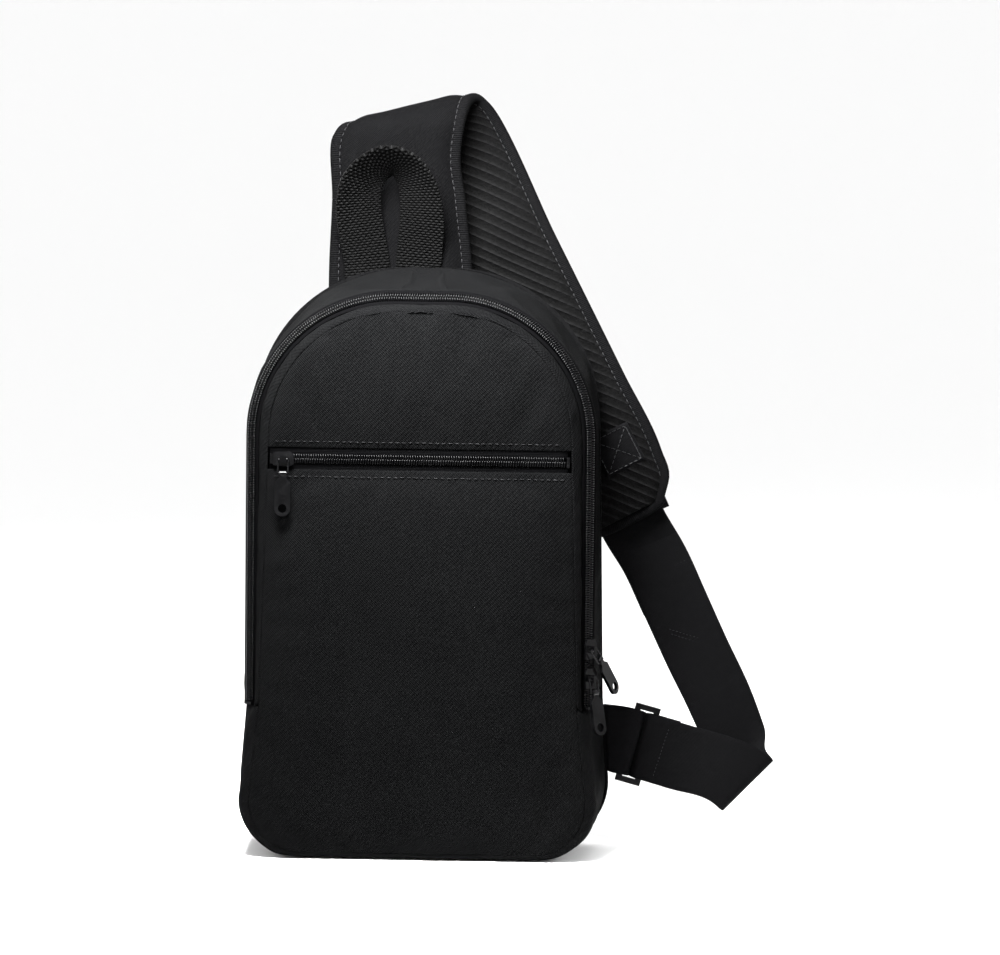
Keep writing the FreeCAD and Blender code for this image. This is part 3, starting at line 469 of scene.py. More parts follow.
# Half width, top, base, crown radius and corner radius at the base, then the slopes flare and kick.
FRONT = Outline(81.5, 295.5, 3.5, 68.0, 27.0, 0.03, 0.1)
BORDER = Outline(87.0, 299.0, 0.5, 72.0, 27.0)
FOOT = Outline(88.5, 299.0, 0.0, 72.0, 31.0, 0.02, 0.1)
GUSSET = Outline(94.0, 306.0, 0.0, 79.0, 34.0)
BACK = Outline(94.0, 314.0, 0.0, 86.0, 34.0, 0.02, 0.05)


def between(a, b, t):
    """The value a share t of the way from a to b."""
    return a + (b - a) * t


def station_side(y):
    """Side points of the case at a depth, with the low part blended into the foot outline."""
    front, border, foot = FRONT.side(), BORDER.side(), FOOT.side()
    gusset, back = GUSSET.side(), BACK.side()
    low = between(foot, back, (y - DEPTH_BORDER) / (DEPTH_SEAM - DEPTH_BORDER))
    if y <= DEPTH_BORDER:
        t = (y - DEPTH_FRONT) / (DEPTH_BORDER - DEPTH_FRONT)
        high, low = between(front, border, t), between(front, foot, t)
    elif y <= DEPTH_ZIP:
        high = between(border, gusset, (y - DEPTH_BORDER) / (DEPTH_ZIP - DEPTH_BORDER))
    else:
        high = between(gusset, back, (y - DEPTH_ZIP) / (DEPTH_SEAM - DEPTH_ZIP))
    weight = smoothstep(KINK - 9, KINK + 7, low[:, 1])[:, None]
    return between(low, high, weight)


def loop_at(y):
    """A closed loop round the case: up the right, over the top, down the left, under the base."""
    side = station_side(y)
    top, base = side[-1], side[0]
    across = np.linspace(1, -1, COLUMNS + 1)[1:-1]
    points = [(x, y, z) for x, z in side]
    points += [(top[0] * a, y, top[1]) for a in across]
    points += [(-x, y, z) for x, z in side[::-1]]
    points += [(-base[0] * a, y, base[1]) for a in across]
    return np.array(points)


def panel_grid(y):
    """Rows across a flat panel whose edge is the loop at the same depth."""
    side = station_side(y)
    across = np.linspace(-1, 1, COLUMNS + 1)
    return np.array([[(x * a, y, z) for a in across] for x, z in side])


SIDE_COUNT = len(FRONT.side())
LOOP_COUNT = 2 * SIDE_COUNT + 2 * (COLUMNS - 1)
DEPTHS = ([DEPTH_FRONT, -38.9, -37.4, -35.6, DEPTH_BORDER, -31.0, -28.7, DEPTH_ZIP]
          + list(np.linspace(DEPTH_ZIP, DEPTH_SEAM, 15)[1:]))
BORDER_STATION, ZIP_STATION, SEAM_STATION = 4, 7, len(DEPTHS) - 1


def panel_to_loop(i, j):
    """The loop index of a panel's edge vertex at row i, column j, or None inside."""
    if j == COLUMNS:
        return i
    if j == 0:
        return SIDE_COUNT + (COLUMNS - 1) + (SIDE_COUNT - 1 - i)
    if i == SIDE_COUNT - 1:
        return SIDE_COUNT + (COLUMNS - 1 - j)
    if i == 0:
        return 2 * SIDE_COUNT + (COLUMNS - 1) + (j - 1)
    return None


def away_from_middle(loop):
    """Unit directions (x, z) out from the middle of the case, for loops of points."""
    away = loop[..., [0, 2]] - np.array([0.0, MIDDLE_Z])
    return away / np.linalg.norm(away, axis=-1, keepdims=True)


def number_panel(grid, ring_start, count):
    """Vertex numbers of a panel whose edge is a loop already numbered; new inner points follow."""
    index = np.zeros(grid.shape[:2], int)
    inner = []
    for i in range(grid.shape[0]):
        for j in range(grid.shape[1]):
            edge = panel_to_loop(i, j)
            if edge is None:
                index[i, j] = count + len(inner)
                inner.append(grid[i, j])
            else:
                index[i, j] = ring_start + edge
    return index, np.array(inner)


def case_shell():
    """The whole case as one closed skin: loops from front to back, and the two panels."""
    rings = np.array([loop_at(y) for y in DEPTHS])
    # The border is a soft roll, and the gusset stands out a little between its seams.
    outward = away_from_middle(rings)
    for k, y in enumerate(DEPTHS):
        if y < DEPTH_BORDER:
            roll = 1.7 * math.sin(math.pi * (y - DEPTH_FRONT) / (DEPTH_BORDER - DEPTH_FRONT))
            rings[k, :, 0] += outward[k, :, 0] * roll
            rings[k, :, 2] = np.maximum(rings[k, :, 2] + outward[k, :, 1] * roll, 0.4)
    points = [rings.reshape(-1, 3)]
    count = len(DEPTHS) * LOOP_COUNT
    grids = {}
    for name, depth, ring in (("front", DEPTH_FRONT, 0), ("back", DEPTH_SEAM, SEAM_STATION)):
        grids[name], inner = number_panel(panel_grid(depth), ring * LOOP_COUNT, count)
        points.append(inner)
        count += len(inner)
    return np.concatenate(points), grids


def ring_index(station, j):
    """The number of vertex j on the loop at a station."""
    return station * LOOP_COUNT + (j % LOOP_COUNT)


def case_faces(grids):
    """Faces of the closed skin: between the loops, then the front and back panels."""
    faces = []
    for k in range(len(DEPTHS) - 1):
        for j in range(LOOP_COUNT):
            faces.append((ring_index(k, j), ring_index(k, j + 1),
                          ring_index(k + 1, j + 1), ring_index(k + 1, j)))
    front, back = grids["front"], grids["back"]
    for i in range(front.shape[0] - 1):
        for j in range(COLUMNS):
            faces.append((front[i, j], front[i, j + 1], front[i + 1, j + 1], front[i + 1, j]))
            faces.append((back[i, j], back[i + 1, j], back[i + 1, j + 1], back[i, j + 1]))
    return faces


PRESSURE, SHRINK, FRAMES = 4.0, -0.012, 20
# No point may move further than the first, nor stand further forward than the second.
BULGE_LIMIT, FRONT_LIMIT = 5.5, -46.5


def blow_up(points, faces, pinned):
    """Fill the skin out by cloth simulation, held at its seams; returns the moved points."""
    mesh = bpy.data.meshes.new("skin")
    mesh.from_pydata([tuple(p) for p in points * MM], [], [tuple(int(v) for v in f) for f in faces])
    skin = bpy.data.objects.new("skin", mesh)
    scene = bpy.context.scene
    scene.collection.objects.link(skin)
    pins = skin.vertex_groups.new(name="seams")
    pins.add([int(v) for v in pinned], 1.0, "REPLACE")
    cloth = skin.modifiers.new("cloth", "CLOTH")
    settings = cloth.settings
    settings.quality = 6
    settings.mass = 0.3
    settings.tension_stiffness = settings.compression_stiffness = 12
    settings.shear_stiffness = 5
    settings.bending_stiffness = 0.4
    settings.use_pressure = True
    settings.uniform_pressure_force = PRESSURE
    settings.shrink_min = SHRINK
    settings.vertex_group_mass = "seams"
    settings.effector_weights.gravity = 0.0
    cloth.collision_settings.use_collision = False
    cloth.collision_settings.use_self_collision = False
    cloth.point_cache.frame_start = 1
    cloth.point_cache.frame_end = FRAMES
    for step in range(1, FRAMES + 1):
        scene.frame_set(step)
    settled = skin.evaluated_get(bpy.context.evaluated_depsgraph_get())
    moved = np.zeros(len(points) * 3)
    settled.data.vertices.foreach_get("co", moved)
    moved = moved.reshape(-1, 3) / MM
    bpy.data.objects.remove(skin)
    scene.frame_set(1)
    return moved


def capped(points, moved, limit):
    """Moves eased so that none goes further than a limit."""
    shift = moved - points
    length = np.linalg.norm(shift, axis=1, keepdims=True)
    eased = limit * np.tanh(length / limit)
    return points + shift * eased / np.maximum(length, 1e-6)


def build_case():
    """The case's skin, blown up between its seams and given slack folds."""
    points, grids = case_shell()
    faces = case_faces(grids)
    front = grids["front"]
    heights = FRONT.side()[:, 1]
    pinned = set()
    for station in (0, BORDER_STATION, ZIP_STATION, SEAM_STATION):
        pinned.update(ring_index(station, j) for j in range(LOOP_COUNT))
    for i, z in enumerate(heights):
        if abs(z - ZIP_Z) <= ZIP_GAP + 0.1:
            pinned.update(front[i])
    pinned.update(grids["back"].ravel())
    # The base stays flat on the ground.
    pinned.update(np.nonzero(points[:, 2] < 1.2)[0])
    moved = blow_up(points, faces, pinned)
    shape = capped(points, moved, BULGE_LIMIT)
    shape[:, 1] = np.maximum(shape[:, 1], FRONT_LIMIT)
    # Slack folds: shallow and wide on the panels, finer beside the seams and at the foot.
    inside = np.ones(len(points), bool)
    inside[list(pinned)] = False
    low = np.exp(-np.maximum(points[:, 2] - 8, 0) / 30.0)
    stretched = points * np.array([1.0, 1.0, 0.55])
    upright = points * np.array([1.0, 0.6, 0.25])
    fold = wavy(stretched, 0.35, 70, 3) + wavy(upright, 0.55, 26, 5) * low
    centre = np.array([0.0, 20.0, MIDDLE_Z])
    away = shape - centre
    away /= np.linalg.norm(away, axis=1, keepdims=True)
    shape[inside] += (away * fold[:, None])[inside]
    shape[:, 2] = np.maximum(shape[:, 2], 0.0)
    return shape, grids, heights


CASE, GRIDS, HEIGHTS = build_case()


def grid_piece(name, grid, node):
    """A padded piece of the case's cloth from a grid of points."""
    obj = sheet(name, grid, CASE_CLOTH, 1.2)
    face_away(obj, (0, 0, 140))
    subdivide(obj)
    place(obj, "case_fabric", node)


def tuck(edge, turn):
    """Three rows that fold a panel's free edge in towards the zip tape behind it."""
    rows = []
    for k in range(1, 4):
        angle = k * math.pi / 2 / 3
        row = edge.copy()
        row[:, 2] -= turn * 0.9 * math.sin(angle)
        row[:, 1] += 1.6 * (1 - math.cos(angle))
        rows.append(row)
    return rows


front_points = CASE[GRIDS["front"]]
low_rows = [i for i, z in enumerate(HEIGHTS) if z <= ZIP_Z - ZIP_GAP + 0.05]
high_rows = [i for i, z in enumerate(HEIGHTS) if z >= ZIP_Z + ZIP_GAP - 0.05]


def seam_dip(grid):
    """Press shallow valleys into a front panel along its sewn lines."""
    for line in (ZIP_Z - SEW_OFF, ZIP_Z + SEW_OFF):
        closeness = np.exp(-((grid[:, :, 2] - line) / 1.6) ** 2)
        grid[:, :, 1] += 0.7 * closeness
    return grid


lower_grid = seam_dip(front_points[low_rows].copy())
upper_grid = seam_dip(front_points[high_rows].copy())
lower_grid = np.array(list(lower_grid) + tuck(lower_grid[-1], -1))
upper_grid = np.array(tuck(upper_grid[0], 1)[::-1] + list(upper_grid))
for node, grid in (("front_panel_lower", lower_grid), ("front_panel_upper", upper_grid)):
    grid_piece(node + "_cloth", grid, node)


def loop_run(first, last, low):
    """The part of the case's loops above the kink, or below it, as an open grid."""
    side_z = FRONT.side()[:, 1]
    split = int(np.argmin(abs(side_z - KINK)))
    left_split = SIDE_COUNT + (COLUMNS - 1) + (SIDE_COUNT - 1 - split)
    if low:
        columns = list(range(left_split, LOOP_COUNT)) + list(range(0, split + 1))
    else:
        columns = list(range(split, left_split + 1))
    return np.array([[CASE[ring_index(k, j)] for k in range(first, last + 1)] for j in columns])


for name, node, first, last, low in (
        ("front_border_roll", "front_border", 0, BORDER_STATION, False),
        ("gusset_upper_cloth", "gusset_upper", ZIP_STATION, SEAM_STATION, False),
        ("gusset_lower_cloth", "gusset_lower", 0, SEAM_STATION, True)):
    grid_piece(name, loop_run(first, last, low), node)


CHANNEL_X, CHANNEL_DEEP = 32.0, 1.5
PAD_SWELL, PAD_SINK = 2.6, 3.0


def back_pad():
    """The padded back: a crowned spacer-mesh face with rounded edges and two sewn channels."""
    side = BACK.side()
    across = np.linspace(-1, 1, COLUMNS + 1)
    grid = np.array([[(x * a, DEPTH_BACK, z) for a in across] for x, z in side])
    z_span = np.minimum(grid[:, :, 2] - 2.0, 312.0 - grid[:, :, 2])
    x_span = np.abs(side[:, 0])[:, None] - np.abs(grid[:, :, 0])
    edge = np.minimum(z_span, x_span)
    swell = 1.0 - np.exp(-np.maximum(edge, 0) / 7.0)
    channel = sum(np.exp(-((grid[:, :, 0] - x) / 3.0) ** 2) for x in (-CHANNEL_X, CHANNEL_X))
    grid[:, :, 1] += PAD_SWELL * swell - PAD_SINK - CHANNEL_DEEP * channel * swell
    return grid


def build_back():
    """The back of the case as one closed pad, with a short side wall inside the seam."""
    grid = back_pad()
    loops = []
    for y, grow in ((DEPTH_SEAM, 0.0), (36.0, 0.35), (36.9, 0.0)):
        ring = loop_at(DEPTH_SEAM)
        away = away_from_middle(ring)
        ring[:, 1] = y
        ring[:, 0] += away[:, 0] * grow
        ring[:, 2] = np.maximum(ring[:, 2] + away[:, 1] * grow, 0.0)
        loops.append(ring)
    index, inner = number_panel(grid, 2 * LOOP_COUNT, 3 * LOOP_COUNT)
    points = np.concatenate([np.array(loops).reshape(-1, 3), inner])
    faces = []
    for k in range(2):
        for j in range(LOOP_COUNT):
            n = (j + 1) % LOOP_COUNT
            faces.append((k * LOOP_COUNT + j, k * LOOP_COUNT + n, (k + 1) * LOOP_COUNT + n,
                          (k + 1) * LOOP_COUNT + j))
    for i in range(grid.shape[0] - 1):
        for j in range(COLUMNS):
            faces.append((index[i, j], index[i + 1, j], index[i + 1, j + 1], index[i, j + 1]))
    faces.append(tuple(range(LOOP_COUNT)))
    obj = new_object("back_panel_pad", points, faces, MESH, points[:, [0, 2]])
    subdivide(obj)
    place(obj, "spacer_mesh", "back_mesh", "back_foam")


build_back()


# ---------------------------------------------------------------- zips

def arch_path(half, top, crown, start, step):
    """Points and outward directions up the right of an arch, over, and down its left."""
    points, outs = [], []
    high = top - crown
    for z in np.arange(start, high, step):
        points.append((half, z))
        outs.append((1.0, 0.0))
    turns = int(crown * math.pi / 2 / step)
    for k in range(turns + 1):
        angle = k * math.pi / 2 / turns
        points.append((half - crown + crown * math.cos(angle), high + crown * math.sin(angle)))
        outs.append((math.cos(angle), math.sin(angle)))
    flat = int(2 * (half - crown) / step)
    mirrored = [(-x, z) for x, z in reversed(points)]
    mirrored_outs = [(-x, z) for x, z in reversed(outs)]
    for k in range(1, flat):
        points.append(((half - crown) * (1 - 2 * k / flat), top))
        outs.append((0.0, 1.0))
    return np.array(points + mirrored), np.array(outs + mirrored_outs)


ZIP_HALF, ZIP_TOP, ZIP_CROWN, ZIP_Y = 90.5, 302.5, 75.5, -30.0


def zip_frames(step, start):
    """Frames along the main chain: point, along, across the tape towards the back, out of it."""
    points, outs = arch_path(ZIP_HALF, ZIP_TOP, ZIP_CROWN, start, step)
    lean = math.sqrt(0.5)
    frames = []
    for i in range(len(points)):
        ahead = points[min(i + 1, len(points) - 1)] - points[max(i - 1, 0)]
        along = unit(vec(ahead[0], 0, ahead[1]))
        radial = vec(outs[i][0], 0, outs[i][1])
        across = unit(radial * lean + vec(0, lean, 0))
        out = unit(radial * lean - vec(0, lean, 0))
        frames.append((vec(points[i][0], ZIP_Y, points[i][1]), along, across, out))
    return frames


def tape(name, frames, low, high, node):
    """One side of a zip's woven tape, between two distances across from the chain."""
    grid = np.array([[centre + across * a - out * 0.05 for a in np.linspace(low, high, 5)]
                     for centre, _, across, out in frames])
    place(sheet(name, grid, ZIP_TAPE, 0.7, 0.0), "zip_tape", node)


def coil(name, frames, side, node, phase=0.0):
    """One half of a coil zip: a rounded loop of filament for each turn."""
    points, faces, uvs = [], [], []
    profile = [(2.75, 0.35), (2.2, 1.2), (1.2, 1.55), (0.2, 1.35), (-0.35, 0.75)]
    for centre, along, across, out in frames[:-1]:
        origin = centre + along * phase
        base = len(points)
        for k, (a, h) in enumerate(profile):
            middle = origin + across * side * a + out * h + along * (0.14 * (k - 2))
            n = profile[min(k + 1, 4)]
            p = profile[max(k - 1, 0)]
            run = unit(across * side * (n[0] - p[0]) + out * (n[1] - p[1]))
            rise = unit(np.cross(run, along))
            wide = 0.46 if k < 4 else 0.52
            for turn in range(6):
                angle = turn * math.pi / 3
                points.append(middle + along * math.cos(angle) * wide + rise * math.sin(angle) * 0.42)
                uvs.append((a, turn * 0.3))
        faces += grid_faces(5, 6, closed=True, start=base) + end_caps(5, 6, base)
    obj = new_object(name, points, faces, TEETH, uvs)
    place(obj, "zip_teeth", node)


COIL_PITCH, TAPE_STEP = 1.3, 4.0
main_frames = zip_frames(COIL_PITCH, KINK + 1.6)
tape_frames = zip_frames(TAPE_STEP, KINK - 0.5)
tape("main_tape_front_cloth", tape_frames, -4.9, -0.4, "main_tape_front")
tape("main_tape_back_cloth", tape_frames, 0.4, 4.9, "main_tape_back")
coil("main_coil_front", main_frames, -1, "main_teeth_front")
coil("main_coil_back", main_frames, 1, "main_teeth_back", phase=COIL_PITCH / 2)

POCKET_END = 79.0
POCKET_Y = -38.8


def pocket_frames(step, end):
    """Frames along the pocket's chain, as for the main one."""
    return [(vec(x, POCKET_Y, ZIP_Z), vec(1, 0, 0), vec(0, 0, 1), vec(0, -1, 0))
            for x in np.arange(-end, end, step)]


chain = pocket_frames(COIL_PITCH, POCKET_END)
tape_frames = pocket_frames(TAPE_STEP, POCKET_END + 1.6)
tape("pocket_tape_upper_cloth", tape_frames, 0.4, SEW_OFF, "pocket_tape_upper")
tape("pocket_tape_lower_cloth", tape_frames, -SEW_OFF, -0.4, "pocket_tape_lower")
coil("pocket_coil_upper", chain, 1, "pocket_teeth_upper")
coil("pocket_coil_lower", chain, -1, "pocket_teeth_lower", phase=COIL_PITCH / 2)


# ---------------------------------------------------------------- padded strap

STRAP_Y = 47.0
BEND_RADIUS = 11.0
BEND_START, BEND_END = vec(-18.4, STRAP_Y, 384.0), vec(-0.5, STRAP_Y + 2 * BEND_RADIUS, 386.5)
TIP_Y = 50.0
STRAP_END = vec(108.5, TIP_Y, 178.5)
TURN = math.radians(27.5)
STRAP_ACROSS = vec(math.cos(TURN), 0, math.sin(TURN))


def strap_route():
    """Sections of the padded strap: up behind the bag, over the fold and down to the tip."""
    sections = [section((x, STRAP_Y, z), (1, 0, 0), (0, -1, 0), wide) for z, x, wide in
                ((288.0, -15.6, 78.5), (313.0, -16.0, 77.5), (350.0, -17.4, 72.0))]
    slope = TURN / 2
    up = vec(-math.sin(slope), 0, math.cos(slope))
    for i in range(9):
        t = i / 8
        roll = math.pi * t
        centre = between(BEND_START, BEND_END, t) + up * (BEND_RADIUS * math.sin(roll))
        centre[1] = BEND_START[1] + BEND_RADIUS * (1 - math.cos(roll))
        across = (math.cos(TURN * t), 0, math.sin(TURN * t))
        normal = vec(0, -math.cos(roll), 0) + up * math.sin(roll)
        sections.append(section(centre, across, normal, 70.0 - 2 * t))
    for t, wide in ((0.35, 68.0), (0.7, 67.0), (0.9, 66.0), (0.965, 60.0), (1.0, 46.0)):
        sections.append(section(between(BEND_END, STRAP_END, t), STRAP_ACROSS, (0, 1, 0), wide))
    return resample(sections, 3.0)


STRAP = strap_route()
SEWN_ROWS = 7
for step, sewn in enumerate(STRAP[:SEWN_ROWS]):
    # The near end is pressed flat where it is sewn down on the back of the bag.
    sewn["full"] = 0.45 + 0.55 * step / SEWN_ROWS
    sewn["centre"][1] -= 2.6 * (1 - step / SEWN_ROWS) ** 2


BIND_WIDE = 6.6


def pad_height(a, half):
    """Half thickness of the padding: low under the edge binding, then swelling to the middle."""
    edge = np.clip((half - abs(a) - BIND_WIDE + 1.6) / 9.0, 0, 1)
    return 1.2 + 3.0 * math.sin(edge * math.pi / 2) ** 0.8


def strap_skin(name, side, material, slot_name, *nodes):
    """The cloth on one side of the padded strap; side is 1 for the face, -1 for the mesh."""
    rows = []
    columns = 57
    for s in STRAP:
        half, full = s["wide"] / 2 - 1.0, s.get("full", 1.0)
        rows.append([spot_on(s, a, side * pad_height(a, half) * full)
                     for a in np.linspace(-half, half, columns)])
    grid = np.array(rows)
    flat = grid.reshape(-1, 3)
    ripple = wavy(flat, 0.22, 38, 11 if side > 0 else 12).reshape(grid.shape[:2])
    for i, s in enumerate(STRAP):
        grid[i] += s["normal"][None, :] * ripple[i][:, None]
    obj = sheet(name, grid, material, 0.9, flip=side > 0)
    subdivide(obj)
    place(obj, slot_name, *nodes)


strap_skin("strap_face_cloth", 1, STRAP_CLOTH, "case_fabric", "strap_face", "strap_foam")
strap_skin("strap_mesh_cloth", -1, MESH, "spacer_mesh", "strap_mesh")


def edge_path():
    """The strap's edge, up its left, round the tip and back: point, outward, normal."""
    inset = BIND_WIDE / 2 - 0.4
    left, right = [[(spot_on(s, way * (s["wide"] / 2 - inset), 0.0), s["across"] * way, s["normal"])
                    for s in STRAP] for way in (-1, 1)]
    last = STRAP[-1]
    ahead = unit(STRAP[-1]["centre"] - STRAP[-3]["centre"])
    half = last["wide"] / 2 - inset
    tip = []
    for k in range(1, 12):
        angle = k * math.pi / 12
        flat = (abs(math.cos(angle)) ** 0.55) * np.sign(math.cos(angle))
        centre = last["centre"] - last["across"] * half * flat + ahead * 2.2 * math.sin(angle) ** 0.6
        out = unit(-last["across"] * math.cos(angle) + ahead * math.sin(angle))
        tip.append((centre, out, last["normal"]))
    return left + tip + right[::-1]


def bind_edge():
    """A rounded tape folded over the strap's edge all the way round."""
    path = edge_path()
    profile = []
    for k in range(14):
        angle = k * 2 * math.pi / 14
        a = BIND_WIDE / 2 * math.copysign(abs(math.cos(angle)) ** 0.75, math.cos(angle))
        n = 2.9 * math.copysign(abs(math.sin(angle)) ** 0.6, math.sin(angle))
        profile.append((a, n))
    rings = []
    for centre, out, normal in path:
        rings.append([centre + out * a + normal * n for a, n in profile])
    grid = np.array(rings)
    rows, columns = grid.shape[:2]
    around = np.cumsum([0] + [math.dist(profile[k], profile[k + 1]) for k in range(13)])
    v = run_lengths(grid.mean(axis=1))
    uvs = np.array([[(v[i], around[j]) for j in range(columns)] for i in range(rows)]).reshape(-1, 2)
    faces = grid_faces(rows, columns, closed=True) + end_caps(rows, columns)
    obj = new_object("strap_edge_binding", grid.reshape(-1, 3), faces, BINDING, uvs)
    place(obj, "binding", "strap_binding")


bind_edge()


def strap_stitch(name, offset_from_edge, side, lift):
    """A stitch row along each edge of the strap on one of its sides."""
    for edge, word in ((-1, "left"), (1, "right")):
        path = [spot_on(s, edge * (s["wide"] / 2 - offset_from_edge), side * lift)
                for s in STRAP[2:-3]]
        normals = [s["normal"] * side for s in STRAP[2:-3]]
        stitches(f"{name}_{word}", path, normals)


strap_stitch("strap_face_stitch", 5.0, 1, 2.6)
strap_stitch("strap_mesh_stitch", 5.0, -1, 2.6)


def sewn_end():
    """Two rows of stitches across the flattened end of the strap, on the wearer's side."""
    for row in (2, 4):
        s = STRAP[row]
        reach = s["wide"] / 2 - BIND_WIDE
        spans = np.linspace(-reach, reach, 15)
        path = []
        for a in spans:
            lift = pad_height(a, s["wide"] / 2 - 1.0) * s["full"] + 0.5
            path.append(spot_on(s, a, -lift))
        stitches(f"strap_end_stitch_{row}", path, [-s["normal"]] * len(path))


sewn_end()


def patch():
    """The square of webbing sewn near the strap's tip, with a box and cross of stitches."""
    middle = between(BEND_END, STRAP_END, 0.852) + STRAP_ACROSS * 12.0
    ahead = unit(STRAP_END - BEND_END)
    across = STRAP_ACROSS
    normal = vec(0, -1, 0)
    lift = 4.5
    size_half = 11.5
    grid = np.array([[middle + across * a + ahead * b + normal * (lift + 0.5)
                      for a in np.linspace(-size_half, size_half, 13)]
                     for b in np.linspace(-size_half, size_half, 13)])
    place(sheet("strap_patch_webbing", grid, WEBBING, 1.1, 0.0), "webbing", "strap_patch")
    corner = size_half - 1.6
    corners = [(-corner, -corner), (corner, -corner), (corner, corner), (-corner, corner),
               (-corner, -corner), (corner, corner), (corner, -corner), (-corner, corner)]
    path = []
    for (a0, b0), (a1, b1) in zip(corners, corners[1:]):
        for t in np.linspace(0, 1, 8):
            path.append(middle + across * between(a0, a1, t) + ahead * between(b0, b1, t)
                        + normal * (lift + 1.1))
    stitches("strap_patch_stitch", path, [normal] * len(path), long=2.2, gap=0.8)


patch()


# ---------------------------------------------------------------- grab handle and webbing

HANDLE_WIDE, HANDLE_THICK = 25.0, 2.0


def handle_route():
    """The loop of the grab handle: places, and how far the webbing has turned over at each."""
    route = [
        (-33.5, 41.2, 298.0, 0.0), (-34.0, 41.2, 314.0, 0.0), (-37.0, 38.0, 333.0, 12.0),
        (-38.5, 33.0, 350.0, 30.0), (-36.0, 28.5, 361.0, 50.0), (-30.0, 26.0, 368.5, 70.0),
        (-22.0, 25.5, 372.5, 84.0), (-14.0, 26.0, 370.5, 98.0), (-7.5, 28.5, 362.0, 118.0),
        (-4.5, 32.0, 350.0, 140.0), (-4.0, 35.5, 338.0, 158.0), (-5.0, 39.0, 326.0, 172.0),
        (-6.0, 41.2, 314.0, 180.0), (-6.6, 41.2, 298.0, 180.0),
    ]
    points = [vec(x, y, z) for x, y, z, _ in route]
    sections = []
    for i, (x, y, z, turn) in enumerate(route):
        ahead = points[min(i + 1, len(points) - 1)] - points[max(i - 1, 0)]
        lean = math.radians(turn)
        wide = vec(math.cos(lean), math.sin(lean) * 0.71, -math.sin(lean) * 0.70)
        wide = unit(wide - ahead * (wide.dot(ahead) / ahead.dot(ahead)))
        sections.append(section((x, y, z), wide, np.cross(ahead, wide), HANDLE_WIDE))
    return resample(sections, 2.5)


handle = sweep("grab_handle_webbing", handle_route(), flat_profile(HANDLE_THICK, 12), HANDLE_WEB)
place(handle, "handle_webbing", "grab_handle")

LOWER_Y = 38.0
BUCKLE_CENTRE = vec(116.5, LOWER_Y, 54.5)
BUCKLE_DOWN, BUCKLE_UP = unit(vec(0.966, 0, -0.26)), unit(vec(0.26, 0, 0.966))
WEB, WEB_THICK = 36.4, 1.6
RING_WIDE, RING_BAR, RING_THICK = 14.0, 3.4, 2.6
BAR_OFFSET = (RING_WIDE - RING_BAR) / 2
WRAP = WEB_THICK / 2 + RING_THICK / 2 + 0.45
WRAP_REACH = BAR_OFFSET - WEB_THICK / 2 + 0.1
ADJUSTER_ACROSS, ADJUSTER_UP = unit(vec(0.911, 0, 0.41)), unit(vec(-0.41, 0, 0.911))
ADJUSTER_Y = TIP_Y + 4.2 + 2 * WRAP
ADJUSTER_CENTRE = vec(108.6, ADJUSTER_Y, 180.7)


def wrap(bar, way, across, first_side, tail=0.0):
    """Webbing that comes to a bar, goes half round it and turns back, with a straight tail or none."""
    sections = []
    for distance, roll in ((tail, 0), (0.0, 0), (0.7, 45), (1.0, 90), (0.7, 135), (0.0, 180)):
        centre = bar - way * distance if roll == 0 else bar + way * (WRAP_REACH * distance)
        side = first_side * math.cos(math.radians(roll))
        centre[1] = bar[1] + WRAP * side
        normal = vec(0, side, 0) + way * math.sin(math.radians(roll))
        sections.append(section(centre, across, normal, WEB))
    return sections if tail else sections[1:]


def limb_section(x, y, z, twist, lift=0.0):
    """A section of the long upper limb, twisted about its length and lifted off its face."""
    lean = math.radians(twist)
    across = ADJUSTER_ACROSS * math.cos(lean) + vec(0, math.sin(lean), 0)
    normal = unit(-np.cross(across, ADJUSTER_UP))
    return section(vec(x, y, z) + normal * lift, across, normal, WEB)


# Stations of the upper limb, from the crease to the strap's tip: x, y, z and twist in degrees.
LIMB = ((169.5, 46.0, 57.0, 20.0), (161.0, 48.0, 78.0, 16.0), (148.0, 50.5, 104.0, 13.0),
        (135.2, 53.5, 131.0, 11.0), (124.5, ADJUSTER_Y - WRAP, 153.0, 4.0))


def webbing_route():
    """From the side ring out to the crease, round it, and up behind to the ring at the strap's tip."""
    sections = wrap(BUCKLE_CENTRE + BUCKLE_DOWN * BAR_OFFSET, -BUCKLE_DOWN, BUCKLE_UP, 1, tail=14.0)
    middle = BUCKLE_CENTRE + vec(22.0, 0, -6.0)
    middle[1] = LOWER_Y - WRAP - 0.4
    sections.append(section(middle, unit(vec(0.38, 0, 0.925)), (0, -1, 0), WEB + 0.6))
    crease, crease_long = vec(176.5, 0, 33.0), 39.5
    crease_axis, crease_out = unit(vec(0.70, 0, 0.715)), unit(vec(0.715, 0, -0.70))
    radius = 3.6
    for i in range(7):
        roll = math.pi * i / 6
        centre = crease + crease_out * (radius * (math.sin(roll) - 1))
        centre[1] = LOWER_Y - WRAP + radius * (1 - math.cos(roll))
        normal = vec(0, -math.cos(roll), 0) + crease_out * math.sin(roll)
        sections.append(section(centre, crease_axis, normal, crease_long))
    sections += [limb_section(*values) for values in LIMB]
    sections += wrap(ADJUSTER_CENTRE - ADJUSTER_UP * BAR_OFFSET, ADJUSTER_UP, ADJUSTER_ACROSS, -1)
    for x, y, z, twist in LIMB[:2:-1]:
        s = limb_section(x, y, z, twist, 2 * WRAP if z > 150 else 1.9)
        s["normal"] = -s["normal"]
        sections.append(s)
    return sections


